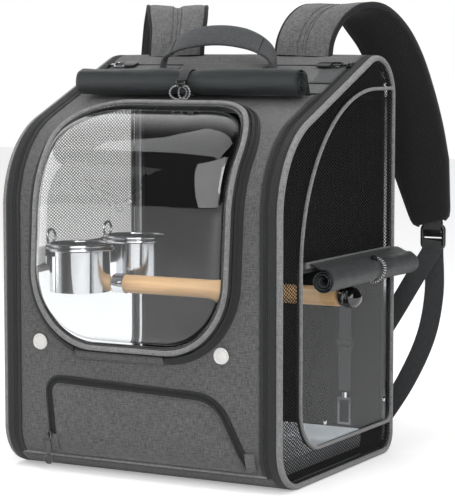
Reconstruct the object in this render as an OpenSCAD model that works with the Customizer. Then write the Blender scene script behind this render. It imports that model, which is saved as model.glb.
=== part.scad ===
// Bird travel carrier worn as a backpack: a soft-sided case with a domed front window,
// mesh and clear side walls, a perch, two food cups and a lift-out tray.
// Origin: middle of the base on the floor. +Z up, the front faces -Y, the wearer's side +Y.

/* [Case] */
// Width over the side piping
body_w = 330; // [290:5:360]
// Depth from the front panel to the back panel
body_d = 275; // [255:5:300]
// Height where the roof line would meet the front panel
shoulder_z = 343.6; // [325:1:360]
// Slope of the roof, degrees from level
roof_angle = 22.5; // [18:0.5:26]
// Rounding between the front panel and the roof
shoulder_r = 102; // [80:1:115]
// Rounding at the top of the back
crown_r = 45; // [35:1:55]
// Rounding at the bottom of the front
toe_r = 45; // [38:1:52]
// Rounding at the bottom of the back
heel_r = 22; // [18:1:30]
// Thickness of the padded fabric walls
wall_t = 4; // [3:0.5:6]

/* [Edges] */
// Width of the round piping along each side wall
piping_w = 6; // [4:0.5:8]
// Width of the fabric rim between piping and zip
rim_w = 9; // [7:1:15]
// Width of the zip teeth along each edge
zip_w = 3.6; // [3:0.1:5]
// How far the zip teeth stand proud of the fabric
zip_rise = 1.2; // [0.8:0.1:2]
// Width of the black tape beside each zip, on the front panel
tape_w = 4; // [3:0.5:8]
// Thickness of sewn tapes and bindings
tape_t = 0.8; // [0.5:0.1:1.5]
// Thickness of the spring-steel hoop inside each rim
wire_t = 3; // [2:0.5:4]

/* [Front door] */
// Gap between pieces that move past each other
gap = 0.4; // [0.3:0.1:0.8]
// Where the door ends on the bottom rounding, degrees below level
door_toe_angle = 40; // [30:1:50]
// Distance of the door's top edge in front of the middle, along Y
door_top_y = 15; // [10:1:25]

/* [Window] */
// Width of the door on each side of the domed window
window_beside_w = 28; // [20:1:40]
// Shift of the window's bottom edge towards the left
window_low_shift = 9; // [0:1:12]
// Shift of the window's top edge towards the right
window_top_shift = 3; // [0:1:6]
// Height of the window's bottom edge
window_low_z = 132; // [125:1:145]
// Distance of the window's top edge in front of the middle, along Y
window_top_y = 50; // [47:1:62]
// Corner radius at the bottom of the window
window_low_r = 77; // [50:1:80]
// Corner radius at the top of the window
window_top_r = 65; // [45:1:75]
// Width of the window's bound frame
window_frame_w = 10; // [7:0.5:13]
// How far the window's frame stands proud
window_frame_rise = 12; // [8:0.5:14]
// Width of the window's zip round the frame
window_zip_w = 8; // [6:0.5:10]
// How far the window's zip stands proud
window_zip_rise = 7; // [4:0.5:8]
// How far the clear dome bulges out of its frame
dome_rise = 20; // [15:1:35]
// Thickness of the clear dome
dome_t = 1.6; // [1.2:0.1:2.5]
// Length of the fabric hinge under the window
hinge_tab_w = 104; // [70:1:120]
// Height of the fabric hinge under the window
hinge_tab_h = 9; // [9:0.5:14]

/* [Pocket] */
// Height of the pocket's top edge
pocket_top_z = 104; // [96:1:112]
// Height of the pocket's bottom edge
pocket_low_z = 22; // [20:1:30]
// How far the pocket bulges
pocket_rise = 6; // [4:0.5:9]
// Width of the pocket's zip band
pocket_zip_w = 9; // [6:0.5:12]
// How far the pocket's zip band stands proud
pocket_zip_rise = 3; // [2:0.5:4]
// Radius of each snap button
button_r = 9; // [7:0.5:10]
// Height of each snap button
button_h = 3.5; // [2.5:0.5:5]
// Gap between each snap button and the window's zip
button_gap = 4; // [1:0.5:8]

/* [Side walls] */
// Thickness of the mesh wall
mesh_t = 3; // [2:0.5:4]
// Thickness of the clear side window
pane_t = 1.2; // [0.8:0.1:2]
// Height of the seam above the side window
seam_z = 222; // [215:1:230]
// Width of the piping that frames the inner panel
inner_piping_w = 4; // [3:0.5:6]
// How far the inner piping stands proud
inner_piping_rise = 3; // [2:0.5:4]

/* [Rolled covers] */
// Radius of the rolled front cover
front_roll_r = 16; // [12:0.5:17]
// Length of the rolled front cover
front_roll_l = 266; // [220:1:270]
// Radius of each rolled side cover
side_roll_r = 13.5; // [10:0.5:14]
// Length of each rolled side cover
side_roll_l = 214; // [180:1:220]
// Width of the ties that hold the rolls
tie_w = 12; // [8:1:16]
// Thickness of the ties
tie_t = 1.5; // [1:0.1:2]

/* [Carrying] */
// Distance of each shoulder strap's root from the middle
strap_x = 79; // [70:1:90]
// Distance of the strap roots in front of the back, along Y
strap_root_in = 55.5; // [50:0.5:60]
// Width of a shoulder strap
strap_w = 68; // [55:1:72]
// Thickness of a shoulder strap
strap_t = 12; // [9:0.5:14]
// Rise of the strap's arch above its root
strap_rise = 51; // [45:1:60]
// How far the strap reaches behind its root
strap_reach = 114; // [105:1:125]
// How far the strap leans outwards
strap_splay = 104; // [90:1:110]
// Drop from the strap's root to its lower end
strap_drop = 184; // [170:1:200]
// Width of the webbing
webbing_w = 22; // [18:1:25]
// Thickness of the webbing
webbing_t = 2; // [1.5:0.1:3]
// Half the span of the carrying handle
handle_half = 68; // [55:1:72]
// Height of the handle's arch
handle_rise = 38; // [32:1:42]
// Width of the handle's webbing
handle_w = 24; // [18:1:28]
// Thickness of the handle's webbing
handle_t = 5; // [3.5:0.5:6]
// Thickness of the pad on the wearer's side
back_pad_t = 10; // [6:1:14]

/* [Inside] */
// Radius of the wooden perch
perch_r = 10; // [7:0.5:11]
// Length of the perch inside the case
perch_l = 273; // [240:1:290]
// Place of the perch along Y
perch_y = 3; // [0:1:6]
// Height of the perch
perch_z = 185; // [178:1:188]
// Radius of the perch's knob
knob_r = 11.5; // [9:0.5:12]
// Radius of the knob's screw
stud_r = 3; // [2.5:0.5:4]
// Length of the knob's screw inside the perch
stud_l = 24; // [16:1:30]
// Radius of a food cup
cup_r = 33; // [28:0.5:34]
// Height of a food cup
cup_h = 50; // [40:1:60]
// Wall of a food cup
cup_t = 1; // [0.8:0.1:1.5]
// Height of the cups' rims
cup_rim_z = 232; // [228:1:240]
// Distance of each cup from the perch along Y
cup_spread = 58; // [54:1:62]
// Radius of the cup holder's wire
holder_r = 1.8; // [1.5:0.1:2.2]
// Height of the tray's walls
tray_h = 18; // [12:1:24]
// Thickness of the tray
tray_t = 2; // [1.5:0.1:3]
// Thickness of the stiffening boards
board_t = 3; // [2:0.5:4]
// Place of the tether along X
tether_x = 112; // [100:1:120]
// Height of the tether's anchor
tether_z = 176; // [160:1:185]
// Length of the tether's webbing
tether_l = 112; // [90:1:118]
// Width of the tether's webbing
tether_w = 14; // [10:1:16]

/* [Hidden] */

arc_step = 7.5; // degrees between points on a rounding
half_w = body_w / 2;
front_y = -body_d / 2;
back_y = body_d / 2;
side_x = half_w - piping_w / 2 - mesh_t / 2; // inner face of a mesh wall
rim_x = half_w - piping_w - rim_w; // inner edge of a rim
chain_x = rim_x - zip_w; // inner edge of the zip teeth
door_half = chain_x - gap;
window_half_w = door_half - window_beside_w;
roof_dir = [cos(roof_angle), sin(roof_angle)]; // up along the roof, in Y and Z
roof_out = [-sin(roof_angle), cos(roof_angle)]; // out of the roof

// Height of the roof line at a depth y, moved inwards by d
function roof_z(y, d = 0) = shoulder_z + (y - front_y) * tan(roof_angle) - d / cos(roof_angle);
function unit(v) = v / norm(v);
function reversed(list) = [for (i = [len(list) - 1:-1:0]) list[i]];
function yz(p) = [p[0], p[1]];

// Points of a rounding of radius r at corner b, between a and c
function corner_arc(a, b, c, r) =
    let (
        u = unit(a - b),
        v = unit(c - b),
        half = acos(u * v) / 2,
        centre = b + unit(u + v) * r / sin(half),
        from = b + u * r / tan(half) - centre,
        to = b + v * r / tan(half) - centre,
        start = atan2(from[1], from[0]),
        turn = (atan2(to[1], to[0]) - start + 540) % 360 - 180,
        n = max(2, ceil(abs(turn) / arc_step))
    )
    [for (i = [0:n]) centre + r * [cos(start + turn * i / n), sin(start + turn * i / n)]];

// Closed outline through corners [y, z, radius]
function rounded(corners) =
    let (n = len(corners))
    [for (i = [0:n - 1]) each corner_arc(yz(corners[(i + n - 1) % n]), yz(corners[i]),
        yz(corners[(i + 1) % n]), corners[i][2])];

// The case seen from the side, moved inwards by d
function side_outline(d) = rounded([
    [front_y + d, d, toe_r - d],
    [back_y - d, d, heel_r - d],
    [back_y - d, roof_z(back_y - d, d), crown_r - d],
    [front_y + d, roof_z(front_y + d, d), shoulder_r - d]
]);

// The toe rounding between two angles below level, moved inwards by d
function toe_arc(d, from, to) =
    let (n = max(2, ceil(abs(to - from) / arc_step)))
    [for (i = [0:n]) let (a = from + (to - from) * i / n)
        [front_y + toe_r - (toe_r - d) * cos(a), toe_r - (toe_r - d) * sin(a)]];

// The heel rounding between two angles below level, moved inwards by d
function heel_arc(d, from, to) =
    let (n = max(2, ceil(abs(to - from) / arc_step)))
    [for (i = [0:n]) let (a = from + (to - from) * i / n)
        [back_y - heel_r + (heel_r - d) * cos(a), heel_r - (heel_r - d) * sin(a)]];

// A point on the roof at depth y, moved inwards by d along the roof's normal
function on_roof(y, d) = [y, roof_z(y)] - roof_out * d;

// The front from the door's bottom edge up to the roof at depth y
function front_path(d, y) = concat(
    toe_arc(d, door_toe_angle, 0),
    corner_arc([front_y + d, 0], [front_y + d, roof_z(front_y + d, d)], on_roof(y, d), shoulder_r - d),
    [on_roof(y, d)]
);

// The roof from depth y over the crown and down to the back panel's top
function crown_path(d, y) = concat(
    [on_roof(y, d)],
    corner_arc(on_roof(y, d), [back_y - d, roof_z(back_y - d, d)], [back_y - d, 0], crown_r - d)
);
crown_low_z = crown_path(0, 0)[len(crown_path(0, 0)) - 1][1];

// A side-view outline drawn across the case from x0 to x1
module across(x0, x1) {
    translate([x0, 0, 0]) rotate([90, 0, 90]) linear_extrude(x1 - x0) children();
}

// A band of wall between two paths
module ribbon(outer, inner, x0, x1) {
    across(x0, x1) polygon(concat(outer, reversed(inner)));
}

// A closed ring of the side outline between insets d0 and d1
module side_ring(d0, d1, x0, x1) {
    across(x0, x1) difference() {
        polygon(side_outline(d0));
        polygon(side_outline(d1));
    }
}

module on_left() { mirror([1, 0, 0]) children(); }

/* ---- fabric walls ---- */
toe_gap_angle = 2 * asin(gap / 2 / toe_r);

module base_panel() color("dimgray")
    ribbon(
        concat(toe_arc(0, door_toe_angle + toe_gap_angle, 90), heel_arc(0, 90, 0)),
        concat(toe_arc(wall_t, door_toe_angle + toe_gap_angle, 90), heel_arc(wall_t, 90, 0)),
        -rim_x, rim_x);

module back_panel() color("dimgray")
    translate([-rim_x, back_y - wall_t, heel_r]) cube([2 * rim_x, wall_t, crown_low_z - heel_r]);

strap_y = back_y - strap_root_in;
zip_end_y = strap_y - 20; // the long zips end on the roof, in front of the straps

module top_panel() color("dimgray") {
    ribbon(crown_path(0, gap - door_top_y), crown_path(wall_t, gap - door_top_y), -chain_x, chain_x);
    // behind the zips the roof reaches the rims
    ribbon(crown_path(0, zip_end_y + gap), crown_path(wall_t, zip_end_y + gap), -rim_x, rim_x);
}

module rim() color("dimgray") side_ring(0, wall_t, rim_x, half_w - piping_w);

module piping() color("gray") side_ring(0.4, piping_w, half_w - piping_w, half_w);

module zip_chain() color("black")
    ribbon(front_path(-zip_rise, zip_end_y), front_path(wall_t / 2, zip_end_y), chain_x, rim_x);

module frame_wire() color("silver")
    side_ring(wall_t, wall_t + wire_t, half_w - piping_w - wire_t - 2, half_w - piping_w - 2);

/* ---- side walls ---- */
inner_front_y = front_y + 43; // front edge of the inner panel
inner_back_y = back_y - piping_w - inner_piping_w / 2 - gap; // back edge of the inner panel
inner_low_z = 36; // bottom of the inner panel and the clear window
inner_top_drop = 58; // from the roof line down to the top of the inner panel, at the back
inner_top_z = roof_z(back_y) - inner_top_drop;
inner_arc_r = 178; // the large curve at the inner panel's top front
pane_low_r = 45; // rounding at the bottom front of the clear window
small_r = 6; // rounding of small corners

// The inner panel of a side wall, moved inwards by e
function inner_outline(e) = rounded([
    [inner_front_y + e, inner_low_z + e, pane_low_r - e],
    [inner_back_y - e, inner_low_z + e, 2 * small_r - e],
    [inner_back_y - e, inner_top_z - e, small_r - e],
    [inner_front_y + e, inner_top_z - e, inner_arc_r - e]
]);

// The clear window below the seam
function pane_outline() = rounded([
    [inner_front_y, inner_low_z, pane_low_r],
    [inner_back_y, inner_low_z, 2 * small_r],
    [inner_back_y, seam_z, 1],
    [inner_front_y, seam_z, 1]
]);

module side_panel() color("black")
    across(side_x, side_x + mesh_t) difference() {
        polygon(side_outline(piping_w));
        polygon(pane_outline());
    }

module side_pane() color("lightblue", 0.3)
    across(side_x + 1, side_x + 1 + pane_t) polygon(pane_outline());

// The right pane has a hole for the perch's screw
module right_pane() color("lightblue", 0.3) difference() {
    side_pane();
    translate([side_x, perch_y, perch_z]) rotate([0, 90, 0])
        cylinder(h = mesh_t + 2, r = stud_r + 0.3, $fn = 48);
}

module inner_piping() color("gray")
    across(side_x + mesh_t, side_x + mesh_t + inner_piping_rise) difference() {
        polygon(inner_outline(-inner_piping_w / 2));
        polygon(inner_outline(inner_piping_w / 2));
    }

/* ---- rolled covers ---- */
side_roll_x = side_x + mesh_t + inner_piping_rise + 1 + side_roll_r;
side_roll_z = seam_z - side_roll_r + 2;
side_roll_y = inner_back_y - side_roll_l / 2 + 8;
flap_t = 1.5; // thickness of a cover's sheet where it leaves its seam
seam_h = 6; // height of a cover's sewn seam

module side_cover() color([0.1, 0.1, 0.11]) {
    translate([side_roll_x, side_roll_y - side_roll_l / 2, side_roll_z]) rotate([-90, 0, 0])
        cylinder(h = side_roll_l, r = side_roll_r, $fn = 64);
    // the sheet runs from the seam over the piping into the roll
    wall_x = side_x + mesh_t;
    flap_y = inner_front_y + small_r + inner_piping_w;
    flap_l = inner_back_y - inner_front_y - 2 * small_r - inner_piping_w;
    sheet_y = side_roll_y - side_roll_l / 2 + 8;
    translate([wall_x, flap_y, seam_z]) cube([flap_t, flap_l, seam_h]);
    translate([wall_x, sheet_y, seam_z + seam_h - flap_t])
        cube([side_roll_x - wall_x, inner_back_y - inner_piping_w - sheet_y, flap_t]);
}

module side_cover_tie() color("black")
    translate([side_roll_x, side_roll_y + 10, side_roll_z]) rotate([-90, 0, 0]) difference() {
        cylinder(h = tie_w, r = side_roll_r + tie_t, $fn = 64);
        translate([0, 0, -1]) cylinder(h = tie_w + 2, r = side_roll_r, $fn = 64);
        // the tie's ends stay open where the flap leaves the roll
        translate([-side_roll_r - tie_t - 1, -side_roll_r - tie_t - 1, -1])
            cube([side_roll_r + tie_t + 1, side_roll_r / 2 + tie_t, tie_w + 2]);
    }

front_roll_lift = front_roll_r + 5; // roll axis above the roof
front_roll_at = on_roof(-window_top_y + 20, -front_roll_lift);
front_roll_x = 5; // the roll is rolled up a little off the middle

module front_cover() color([0.1, 0.12, 0.13]) {
    translate([front_roll_x - front_roll_l / 2, front_roll_at[0], front_roll_at[1]]) rotate([0, 90, 0])
        cylinder(h = front_roll_l, r = front_roll_r, $fn = 64);
    // the sheet leaves the roll and is sewn to the door's top edge
    across(front_roll_x - front_roll_l / 2 + 3, front_roll_x + front_roll_l / 2 - 3) polygon([
        front_roll_at + roof_dir * (front_roll_r - 2),
        front_roll_at + roof_dir * (front_roll_r - 2) - roof_out * front_roll_lift,
        front_roll_at + roof_dir * (front_roll_r - 2 - flap_t) - roof_out * front_roll_lift,
        front_roll_at + roof_dir * (front_roll_r - 2 - flap_t)
    ]);
}

module front_cover_tie() color("black")
    translate([front_roll_x - tie_w / 2, front_roll_at[0], front_roll_at[1]]) rotate([roof_angle, 0, 0])
        rotate([0, 90, 0]) difference() {
            cylinder(h = tie_w, r = front_roll_r + tie_t, $fn = 64);
            translate([0, 0, -1]) cylinder(h = tie_w + 2, r = front_roll_r, $fn = 64);
            translate([0, 0, -1]) cube([front_roll_r + tie_t + 1, front_roll_r + tie_t + 1, tie_w + 2]);
        }

/* ---- front door ---- */
door_top = -door_top_y;

// The window's plane: v runs up the chord from the window's hinge line, w points out of it
window_chord = [-window_top_y, roof_z(-window_top_y)] - [front_y, window_low_z];
window_l = norm(window_chord);
window_tilt = atan2(window_chord[0], window_chord[1]);

module in_window_plane() {
    translate([0, front_y, window_low_z]) rotate([90 - window_tilt, 0, 0]) children();
}

// Outline of the window in its plane, moved inwards by e
function window_outline(e) = rounded([
    [-window_half_w - window_low_shift + e, e, window_low_r - e],
    [window_half_w - window_low_shift - e, e, window_low_r - e],
    [window_half_w + window_top_shift - e, window_l - e, window_top_r - e],
    [-window_half_w + window_top_shift + e, window_l - e, window_top_r - e]
]);

module window_prism(e) {
    in_window_plane() translate([0, 0, -body_d / 4]) linear_extrude(body_d * 0.65) polygon(window_outline(e));
}

// A layer on the front between heights h0 and h1 above the fabric
module front_layer(h0, h1, x = door_half) {
    ribbon(front_path(-h1, door_top), front_path(-h0, door_top), -x, x);
}

module front_panel() color("dimgray") difference() {
    front_layer(-wall_t, 0);
    window_prism(-gap);
}

module door_tape() color("black")
    for (side = [0, 1]) mirror([side, 0, 0])
        ribbon(front_path(-tape_t, door_top), front_path(0, door_top), door_half - tape_w, door_half);

hinge_x = 19; // the fabric hinge sits left of the middle

module window_zip() color("black") difference() {
    intersection() {
        front_layer(0, window_zip_rise, door_half - tape_w - gap);
        window_prism(-window_zip_w);
    }
    window_prism(-gap);
    // the zip stops at the fabric hinge
    translate([-hinge_tab_w / 2 - gap - hinge_x, front_y - 20, window_low_z - 2 * window_zip_w])
        cube([hinge_tab_w + 2 * gap, 40, 3 * window_zip_w]);
}

module window_hinge_tab() color("dimgray")
    translate([-hinge_tab_w / 2 - hinge_x, front_y - window_zip_rise, window_low_z - gap - hinge_tab_h])
        cube([hinge_tab_w, window_zip_rise, hinge_tab_h]);

module window_frame() color("black") difference() {
    intersection() {
        front_layer(-wall_t, window_frame_rise);
        window_prism(gap);
    }
    window_prism(window_frame_w);
}

// The dome: rings of its footprint rise steeply at the rim and level off
dome_rings = [1, 0.985, 0.96, 0.92, 0.86, 0.78, 0.66, 0.5, 0.3, 0.1];
dome_power = 3;
front_points = front_path(0, door_top);
chord_dir = unit(window_chord);
chord_out = [-chord_dir[1], chord_dir[0]];
// How far the fabric stands out of the window's plane, by distance up the chord
front_table = [for (p = front_points) let (q = p - [front_y, window_low_z]) [q * chord_dir, q * chord_out]];
dome_edge = window_outline(window_frame_w - 1);
dome_mid = [(window_top_shift - window_low_shift) / 2, window_l / 2];
dome_seat = window_frame_rise - 4; // the dome's edge lies inside the frame

function dome_layer(sink) = [for (s = dome_rings) [for (p = dome_edge) let (
    q = dome_mid + (p - dome_mid) * s
) [q[0], q[1], lookup(q[1], front_table) + dome_seat - sink
    + dome_rise * pow(1 - pow(s, dome_power), 1 / dome_power)]]];

// Faces between rings of n points, as triangles, clockwise from outside
function ring_faces(rings, n, first = 0, flip = false) = [
    for (k = [0:rings - 2], i = [0:n - 1]) let (
        a = first + k * n + i,
        b = first + k * n + (i + 1) % n,
        c = a + n,
        d = b + n
    ) each flip ? [[a, b, d], [a, d, c]] : [[a, d, b], [a, c, d]]
];

module window_dome() color("lightblue", 0.35) {
    n = len(dome_edge);
    k = len(dome_rings);
    upper = [for (ring = dome_layer(0)) each ring];
    lower = [for (ring = dome_layer(dome_t)) each ring];
    last = (k - 1) * n;
    in_window_plane() polyhedron(
        concat(upper, lower),
        concat(
            ring_faces(k, n, 0),
            ring_faces(k, n, k * n, true),
            [[for (i = [n - 1:-1:0]) last + i]],
            [[for (i = [0:n - 1]) k * n + last + i]],
            [for (i = [0:n - 1]) let (j = (i + 1) % n) each [[i, j, k * n + j], [i, k * n + j, k * n + i]]]
        ));
}

/* ---- pocket and small parts on the door ---- */
pocket_low_left = 104; // its lower left corner, from the middle
pocket_low_right = 137; // its lower right corner, from the middle
pocket_top_left = 112; // its upper left corner, from the middle
pocket_top_right = 97; // its upper right corner, from the middle
pocket_right_r = 45;
pocket_left_r = 18;
pocket_fold_left = 90; // between these two there is no zip along the bottom
pocket_fold_right = 100;

// The pocket seen from the front, moved inwards by e
function pocket_outline(e) = rounded([
    [-pocket_low_left + e, pocket_low_z - 8 + e, small_r],
    [pocket_low_right - e, pocket_low_z - 8 + e, small_r],
    [pocket_top_right - e, pocket_top_z - small_r - e, pocket_right_r - e],
    [-pocket_top_left + e, pocket_top_z - e, pocket_left_r - e]
]);

module pocket_prism(e) {
    intersection() {
        translate([0, front_y + toe_r, 0]) rotate([90, 0, 0])
            linear_extrude(toe_r + 30) polygon(pocket_outline(e));
        translate([-door_half, front_y - toe_r, pocket_low_z])
            cube([2 * door_half - tape_w, 3 * toe_r, pocket_top_z]);
    }
}

module pocket() color("dimgray") intersection() {
    front_layer(0, pocket_rise, door_half - tape_w - gap);
    pocket_prism(pocket_zip_w);
}

module pocket_zip() color("black") difference() {
    intersection() {
        front_layer(0, pocket_zip_rise, door_half - tape_w - gap);
        pocket_prism(0);
    }
    pocket_prism(pocket_zip_w);
    translate([-pocket_fold_left, front_y - toe_r, 0])
        cube([pocket_fold_left + pocket_fold_right, 2 * toe_r, pocket_low_z + 2 * small_r]);
}

button_angle = 43; // place of each button round the window's lower corner, in degrees from straight down
button_out = window_low_r + window_zip_w + button_r + button_gap;
button_x = window_half_w - window_low_r + button_out * sin(button_angle);
button_z = window_low_z + (window_low_r - button_out * cos(button_angle)) * chord_dir[1];

module snap_buttons() color("lightgray")
    for (x = [-button_x, button_x]) translate([x - window_low_shift, front_y, button_z]) rotate([90, 0, 0]) {
        cylinder(h = button_h - 1, r = button_r, $fn = 48);
        cylinder(h = button_h, r = button_r * 0.45, $fn = 48);
    }

pull_ring_r = 5; // radius of the ring on the pocket's zip pull
pull_wire_r = 1; // radius of that ring's wire
pull_tab_w = 6; // width of the pull's tab
pull_tab_l = 12; // height of the tab above the pocket's bottom edge
pull_tab_t = 1.6; // thickness of the pull's tab
pocket_pull_at = [-104, front_y - pocket_zip_rise - 2.5, pocket_low_z + pull_tab_l];

module pocket_pull() color([0.12, 0.12, 0.12]) {
    drop = pocket_pull_at[2] - 2 * pull_ring_r - 5.5; // the ring hangs just clear of the floor
    translate(pocket_pull_at + [-pull_tab_w / 2, -2, -drop]) cube([pull_tab_w, pull_tab_t, drop]);
    translate(pocket_pull_at + [0, -1.2, -drop - pull_ring_r]) rotate([90, 0, 0])
        rotate_extrude($fn = 40) translate([pull_ring_r, 0]) circle(r = pull_wire_r, $fn = 16);
}

/* ---- pulls of the two long zips ---- */
door_pull_y = zip_end_y - 10;
door_pull_l = 36;
door_pull_w = 13;
door_pull_t = 3;

module door_pull() color("black")
    translate([chain_x - gap, door_pull_y, roof_z(door_pull_y)]) rotate([roof_angle, 0, 0])
        translate([0, 0, zip_rise + 1]) {
            difference() {
                translate([-door_pull_l, -door_pull_w / 2, 0]) cube([door_pull_l, door_pull_w, door_pull_t]);
                translate([-door_pull_l + 3, -door_pull_w / 2 + 3, -1])
                    cube([door_pull_l - 16, door_pull_w - 6, door_pull_t + 2]);
            }
        }

/* ---- carrying ---- */
band_front_y = 11;
band_l = 48; // along the roof

module top_band() color([0.14, 0.15, 0.16])
    translate([0, band_front_y, roof_z(band_front_y)]) rotate([roof_angle, 0, 0])
        translate([-chain_x, 0, 0]) cube([2 * chain_x, band_l, tape_t]);

// Points on a smooth curve through the given ones, n steps between each two
function smooth(p, n) = [
    for (i = [0:len(p) - 2], k = [0:n - 1]) let (
        t = k / n,
        a = p[max(i - 1, 0)],
        b = p[i],
        c = p[i + 1],
        d = p[min(i + 2, len(p) - 1)]
    ) 0.5 * (2 * b + (c - a) * t + (2 * a - 5 * b + 4 * c - d) * t * t + (3 * b - a - 3 * c + d) * t * t * t),
    p[len(p) - 1]
];

// A flat strap along a path, its width lying along the given side directions
module strap(path, sides, widths, thick) {
    n = len(path);
    m = 8;
    points = [for (i = [0:n - 1]) let (
        along = unit(path[min(i + 1, n - 1)] - path[max(i - 1, 0)]),
        side = unit(sides[i] - along * (sides[i] * along)),
        out = cross(along, side),
        w = widths[i] / 2,
        t = thick / 2,
        c = thick * 0.3,
        low_half = [[-w, c - t], [c - w, -t], [w - c, -t], [w, c - t]],
        top_half = [[w, t - c], [w - c, t], [c - w, t], [-w, t - c]]
    ) each [for (q = concat(low_half, top_half)) path[i] + side * q[0] + out * q[1]]];
    polyhedron(points, concat(
        ring_faces(n, m, 0),
        [[for (i = [0:m - 1]) i]],
        [[for (i = [m - 1:-1:0]) (n - 1) * m + i]]
    ));
}

strap_root = [strap_x, strap_y, roof_z(strap_y) - 1]; // its end is sewn into the roof
// Shares of splay and reach, and of the rise above or the drop below the root
strap_shape = [
    [0, 0, 0], [0.01, 0.035, 0.35], [0.05, 0.13, 0.70], [0.135, 0.26, 0.94], [0.25, 0.42, 1],
    [0.39, 0.58, 0.86], [0.53, 0.72, 0.47], [0.635, 0.825, -0.02], [0.72, 0.91, -0.21],
    [0.80, 0.975, -0.43], [0.865, 1, -0.65], [0.93, 1.015, -0.84], [1, 1, -1]
];
strap_path = smooth([for (q = strap_shape) strap_root
    + [q[0] * strap_splay, q[1] * strap_reach, q[2] > 0 ? q[2] * strap_rise : q[2] * strap_drop]], 2);
strap_end = strap_path[len(strap_path) - 1];

module shoulder_strap() color([0.3, 0.3, 0.31]) {
    n = len(strap_path);
    strap(strap_path, [for (p = strap_path) [1, 0, 0]],
        [for (i = [0:n - 1]) i < n - 5 ? strap_w : strap_w * (1 - 0.09 * (i - n + 5))], strap_t);
}

buckle_w = 30;
buckle_h = 30;
buckle_t = 5;
slot_h = 4;

// A ladder-lock buckle: two slots for the webbing in a rounded plate
module buckle() color([0.06, 0.06, 0.06])
    translate(strap_end + [2, 0, -buckle_h / 2 - 1]) rotate([90, 0, 0]) difference() {
        translate([0, 0, -buckle_t / 2]) linear_extrude(buckle_t)
            polygon(rounded([
                [-buckle_w / 2, -buckle_h / 2, 8], [buckle_w / 2, -buckle_h / 2, 8],
                [buckle_w / 2, buckle_h / 2, 5], [-buckle_w / 2, buckle_h / 2, 5]
            ]));
        for (z = [-buckle_h / 2 + 5, buckle_h / 2 - 9])
            translate([-webbing_w / 2 - 0.5, z, -buckle_t]) cube([webbing_w + 1, slot_h, 2 * buckle_t]);
    }

buckle_foot = strap_end + [2, 0, -buckle_h - 1 - webbing_t / 2];
// The place between two points at given shares of the way along X, Y and Z
function between(a, b, share) = [for (k = [0:2]) a[k] + share[k] * (b[k] - a[k])];

// The webbing bows out from the sewn corner up to the buckle
webbing_low = [half_w - 30, back_y + webbing_t / 2, heel_r];
webbing_top = buckle_foot + [1, 0, 0];
webbing_shares = [
    [0, 0, 0], [0.20, 0.19, 0.06], [0.57, 0.57, 0.26], [0.90, 0.85, 0.51], [1.02, 0.99, 0.76], [1, 1, 1]
];
webbing_path = smooth([for (q = webbing_shares) between(webbing_low, webbing_top, q)], 4);
sewn_side = [0.77, 0, -0.64]; // where it is sewn on, the webbing lies flat along the back
free_side = [1, 0.15, 0];
side_turn = 6; // points over which it turns from one to the other

module webbing() color([0.2, 0.2, 0.21]) {
    turns = [for (i = [0:len(webbing_path) - 1]) min(1, i / side_turn)];
    strap(webbing_path, [for (t = turns) between(sewn_side, free_side, [t, t, t])],
        [for (p = webbing_path) webbing_w], webbing_t);
}

pad_in = 22; // the back pad ends this far inside the rims
pad_low_z = 55;
pad_r = 22;

// The loose end leaves in front of the buckle's foot, runs inwards and rests on the back pad
tail_top = buckle_foot + [-1, -(buckle_t + webbing_t) / 2 - 2 * gap, -1];
tail_end = [half_w - 56, back_y + back_pad_t + webbing_t / 2 + gap, pad_low_z + 7];
tail_shares = [
    [0, 0, 0], [0.19, 0.17, 0.17], [0.44, 0.49, 0.42], [0.71, 0.83, 0.68], [0.89, 0.99, 0.86], [1, 1, 1]
];
tail_path = smooth([for (q = tail_shares) between(tail_top, tail_end, q)], 4);

module webbing_tail() color([0.2, 0.2, 0.21])
    strap(tail_path, [for (p = tail_path) [1, 0, 0]], [for (p = tail_path) webbing_w], webbing_t);

module back_pad() color([0.08, 0.08, 0.08])
    translate([0, back_y, 0]) rotate([90, 0, 0]) translate([0, 0, -back_pad_t]) linear_extrude(back_pad_t)
        polygon(rounded([
            [pad_in - rim_x, pad_low_z, pad_r], [rim_x - pad_in, pad_low_z, pad_r],
            [rim_x - pad_in, crown_low_z - 12, pad_r], [pad_in - rim_x, crown_low_z - 12, pad_r]
        ]));

handle_y = band_front_y + band_l / 2 - 1;
handle_foot = [0, handle_y, roof_z(handle_y) + tape_t + handle_t / 2 + gap];
handle_steps = 20;
handle_path = [for (i = [0:handle_steps]) let (a = 180 * i / handle_steps)
    handle_foot + [-handle_half * cos(a), 0, handle_rise * pow(sin(a), 0.8)]];

handle_foot_w = 10; // the webbing is folded narrow where it is sewn down
handle_lean = 40; // degrees that the grip leans back at its middle

module carry_handle() color([0.18, 0.2, 0.2]) {
    leans = [for (i = [0:handle_steps]) roof_angle + handle_lean * sin(180 * i / handle_steps)];
    strap(handle_path, [for (a = leans) [0, cos(a), sin(a)]],
        [for (i = [0:handle_steps]) i == 0 || i == handle_steps ? handle_foot_w : handle_w], handle_t);
}

/* ---- inside ---- */
module floor_board() color([0.25, 0.25, 0.25])
    translate([-rim_x, front_y + toe_r, wall_t]) cube([2 * rim_x, body_d - toe_r - heel_r, board_t]);

module back_board() color([0.1, 0.1, 0.1])
    translate([-rim_x, back_y - wall_t - board_t, heel_r + 4])
        cube([2 * rim_x, board_t, crown_low_z - heel_r - 8]);

tray_half = rim_x - 8;
tray_z = wall_t + board_t + gap;

module tray() color("whitesmoke") difference() {
    translate([-tray_half, front_y + toe_r, tray_z]) cube([2 * tray_half, body_d - toe_r - heel_r, tray_h]);
    translate([-tray_half + tray_t, front_y + toe_r + tray_t, tray_z + tray_t])
        cube([2 * (tray_half - tray_t), body_d - toe_r - heel_r - 2 * tray_t, tray_h]);
}

perch_end_x = side_x - 0.3;

module along_perch(x) { translate([x, perch_y, perch_z]) rotate([0, 90, 0]) children(); }

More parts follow.
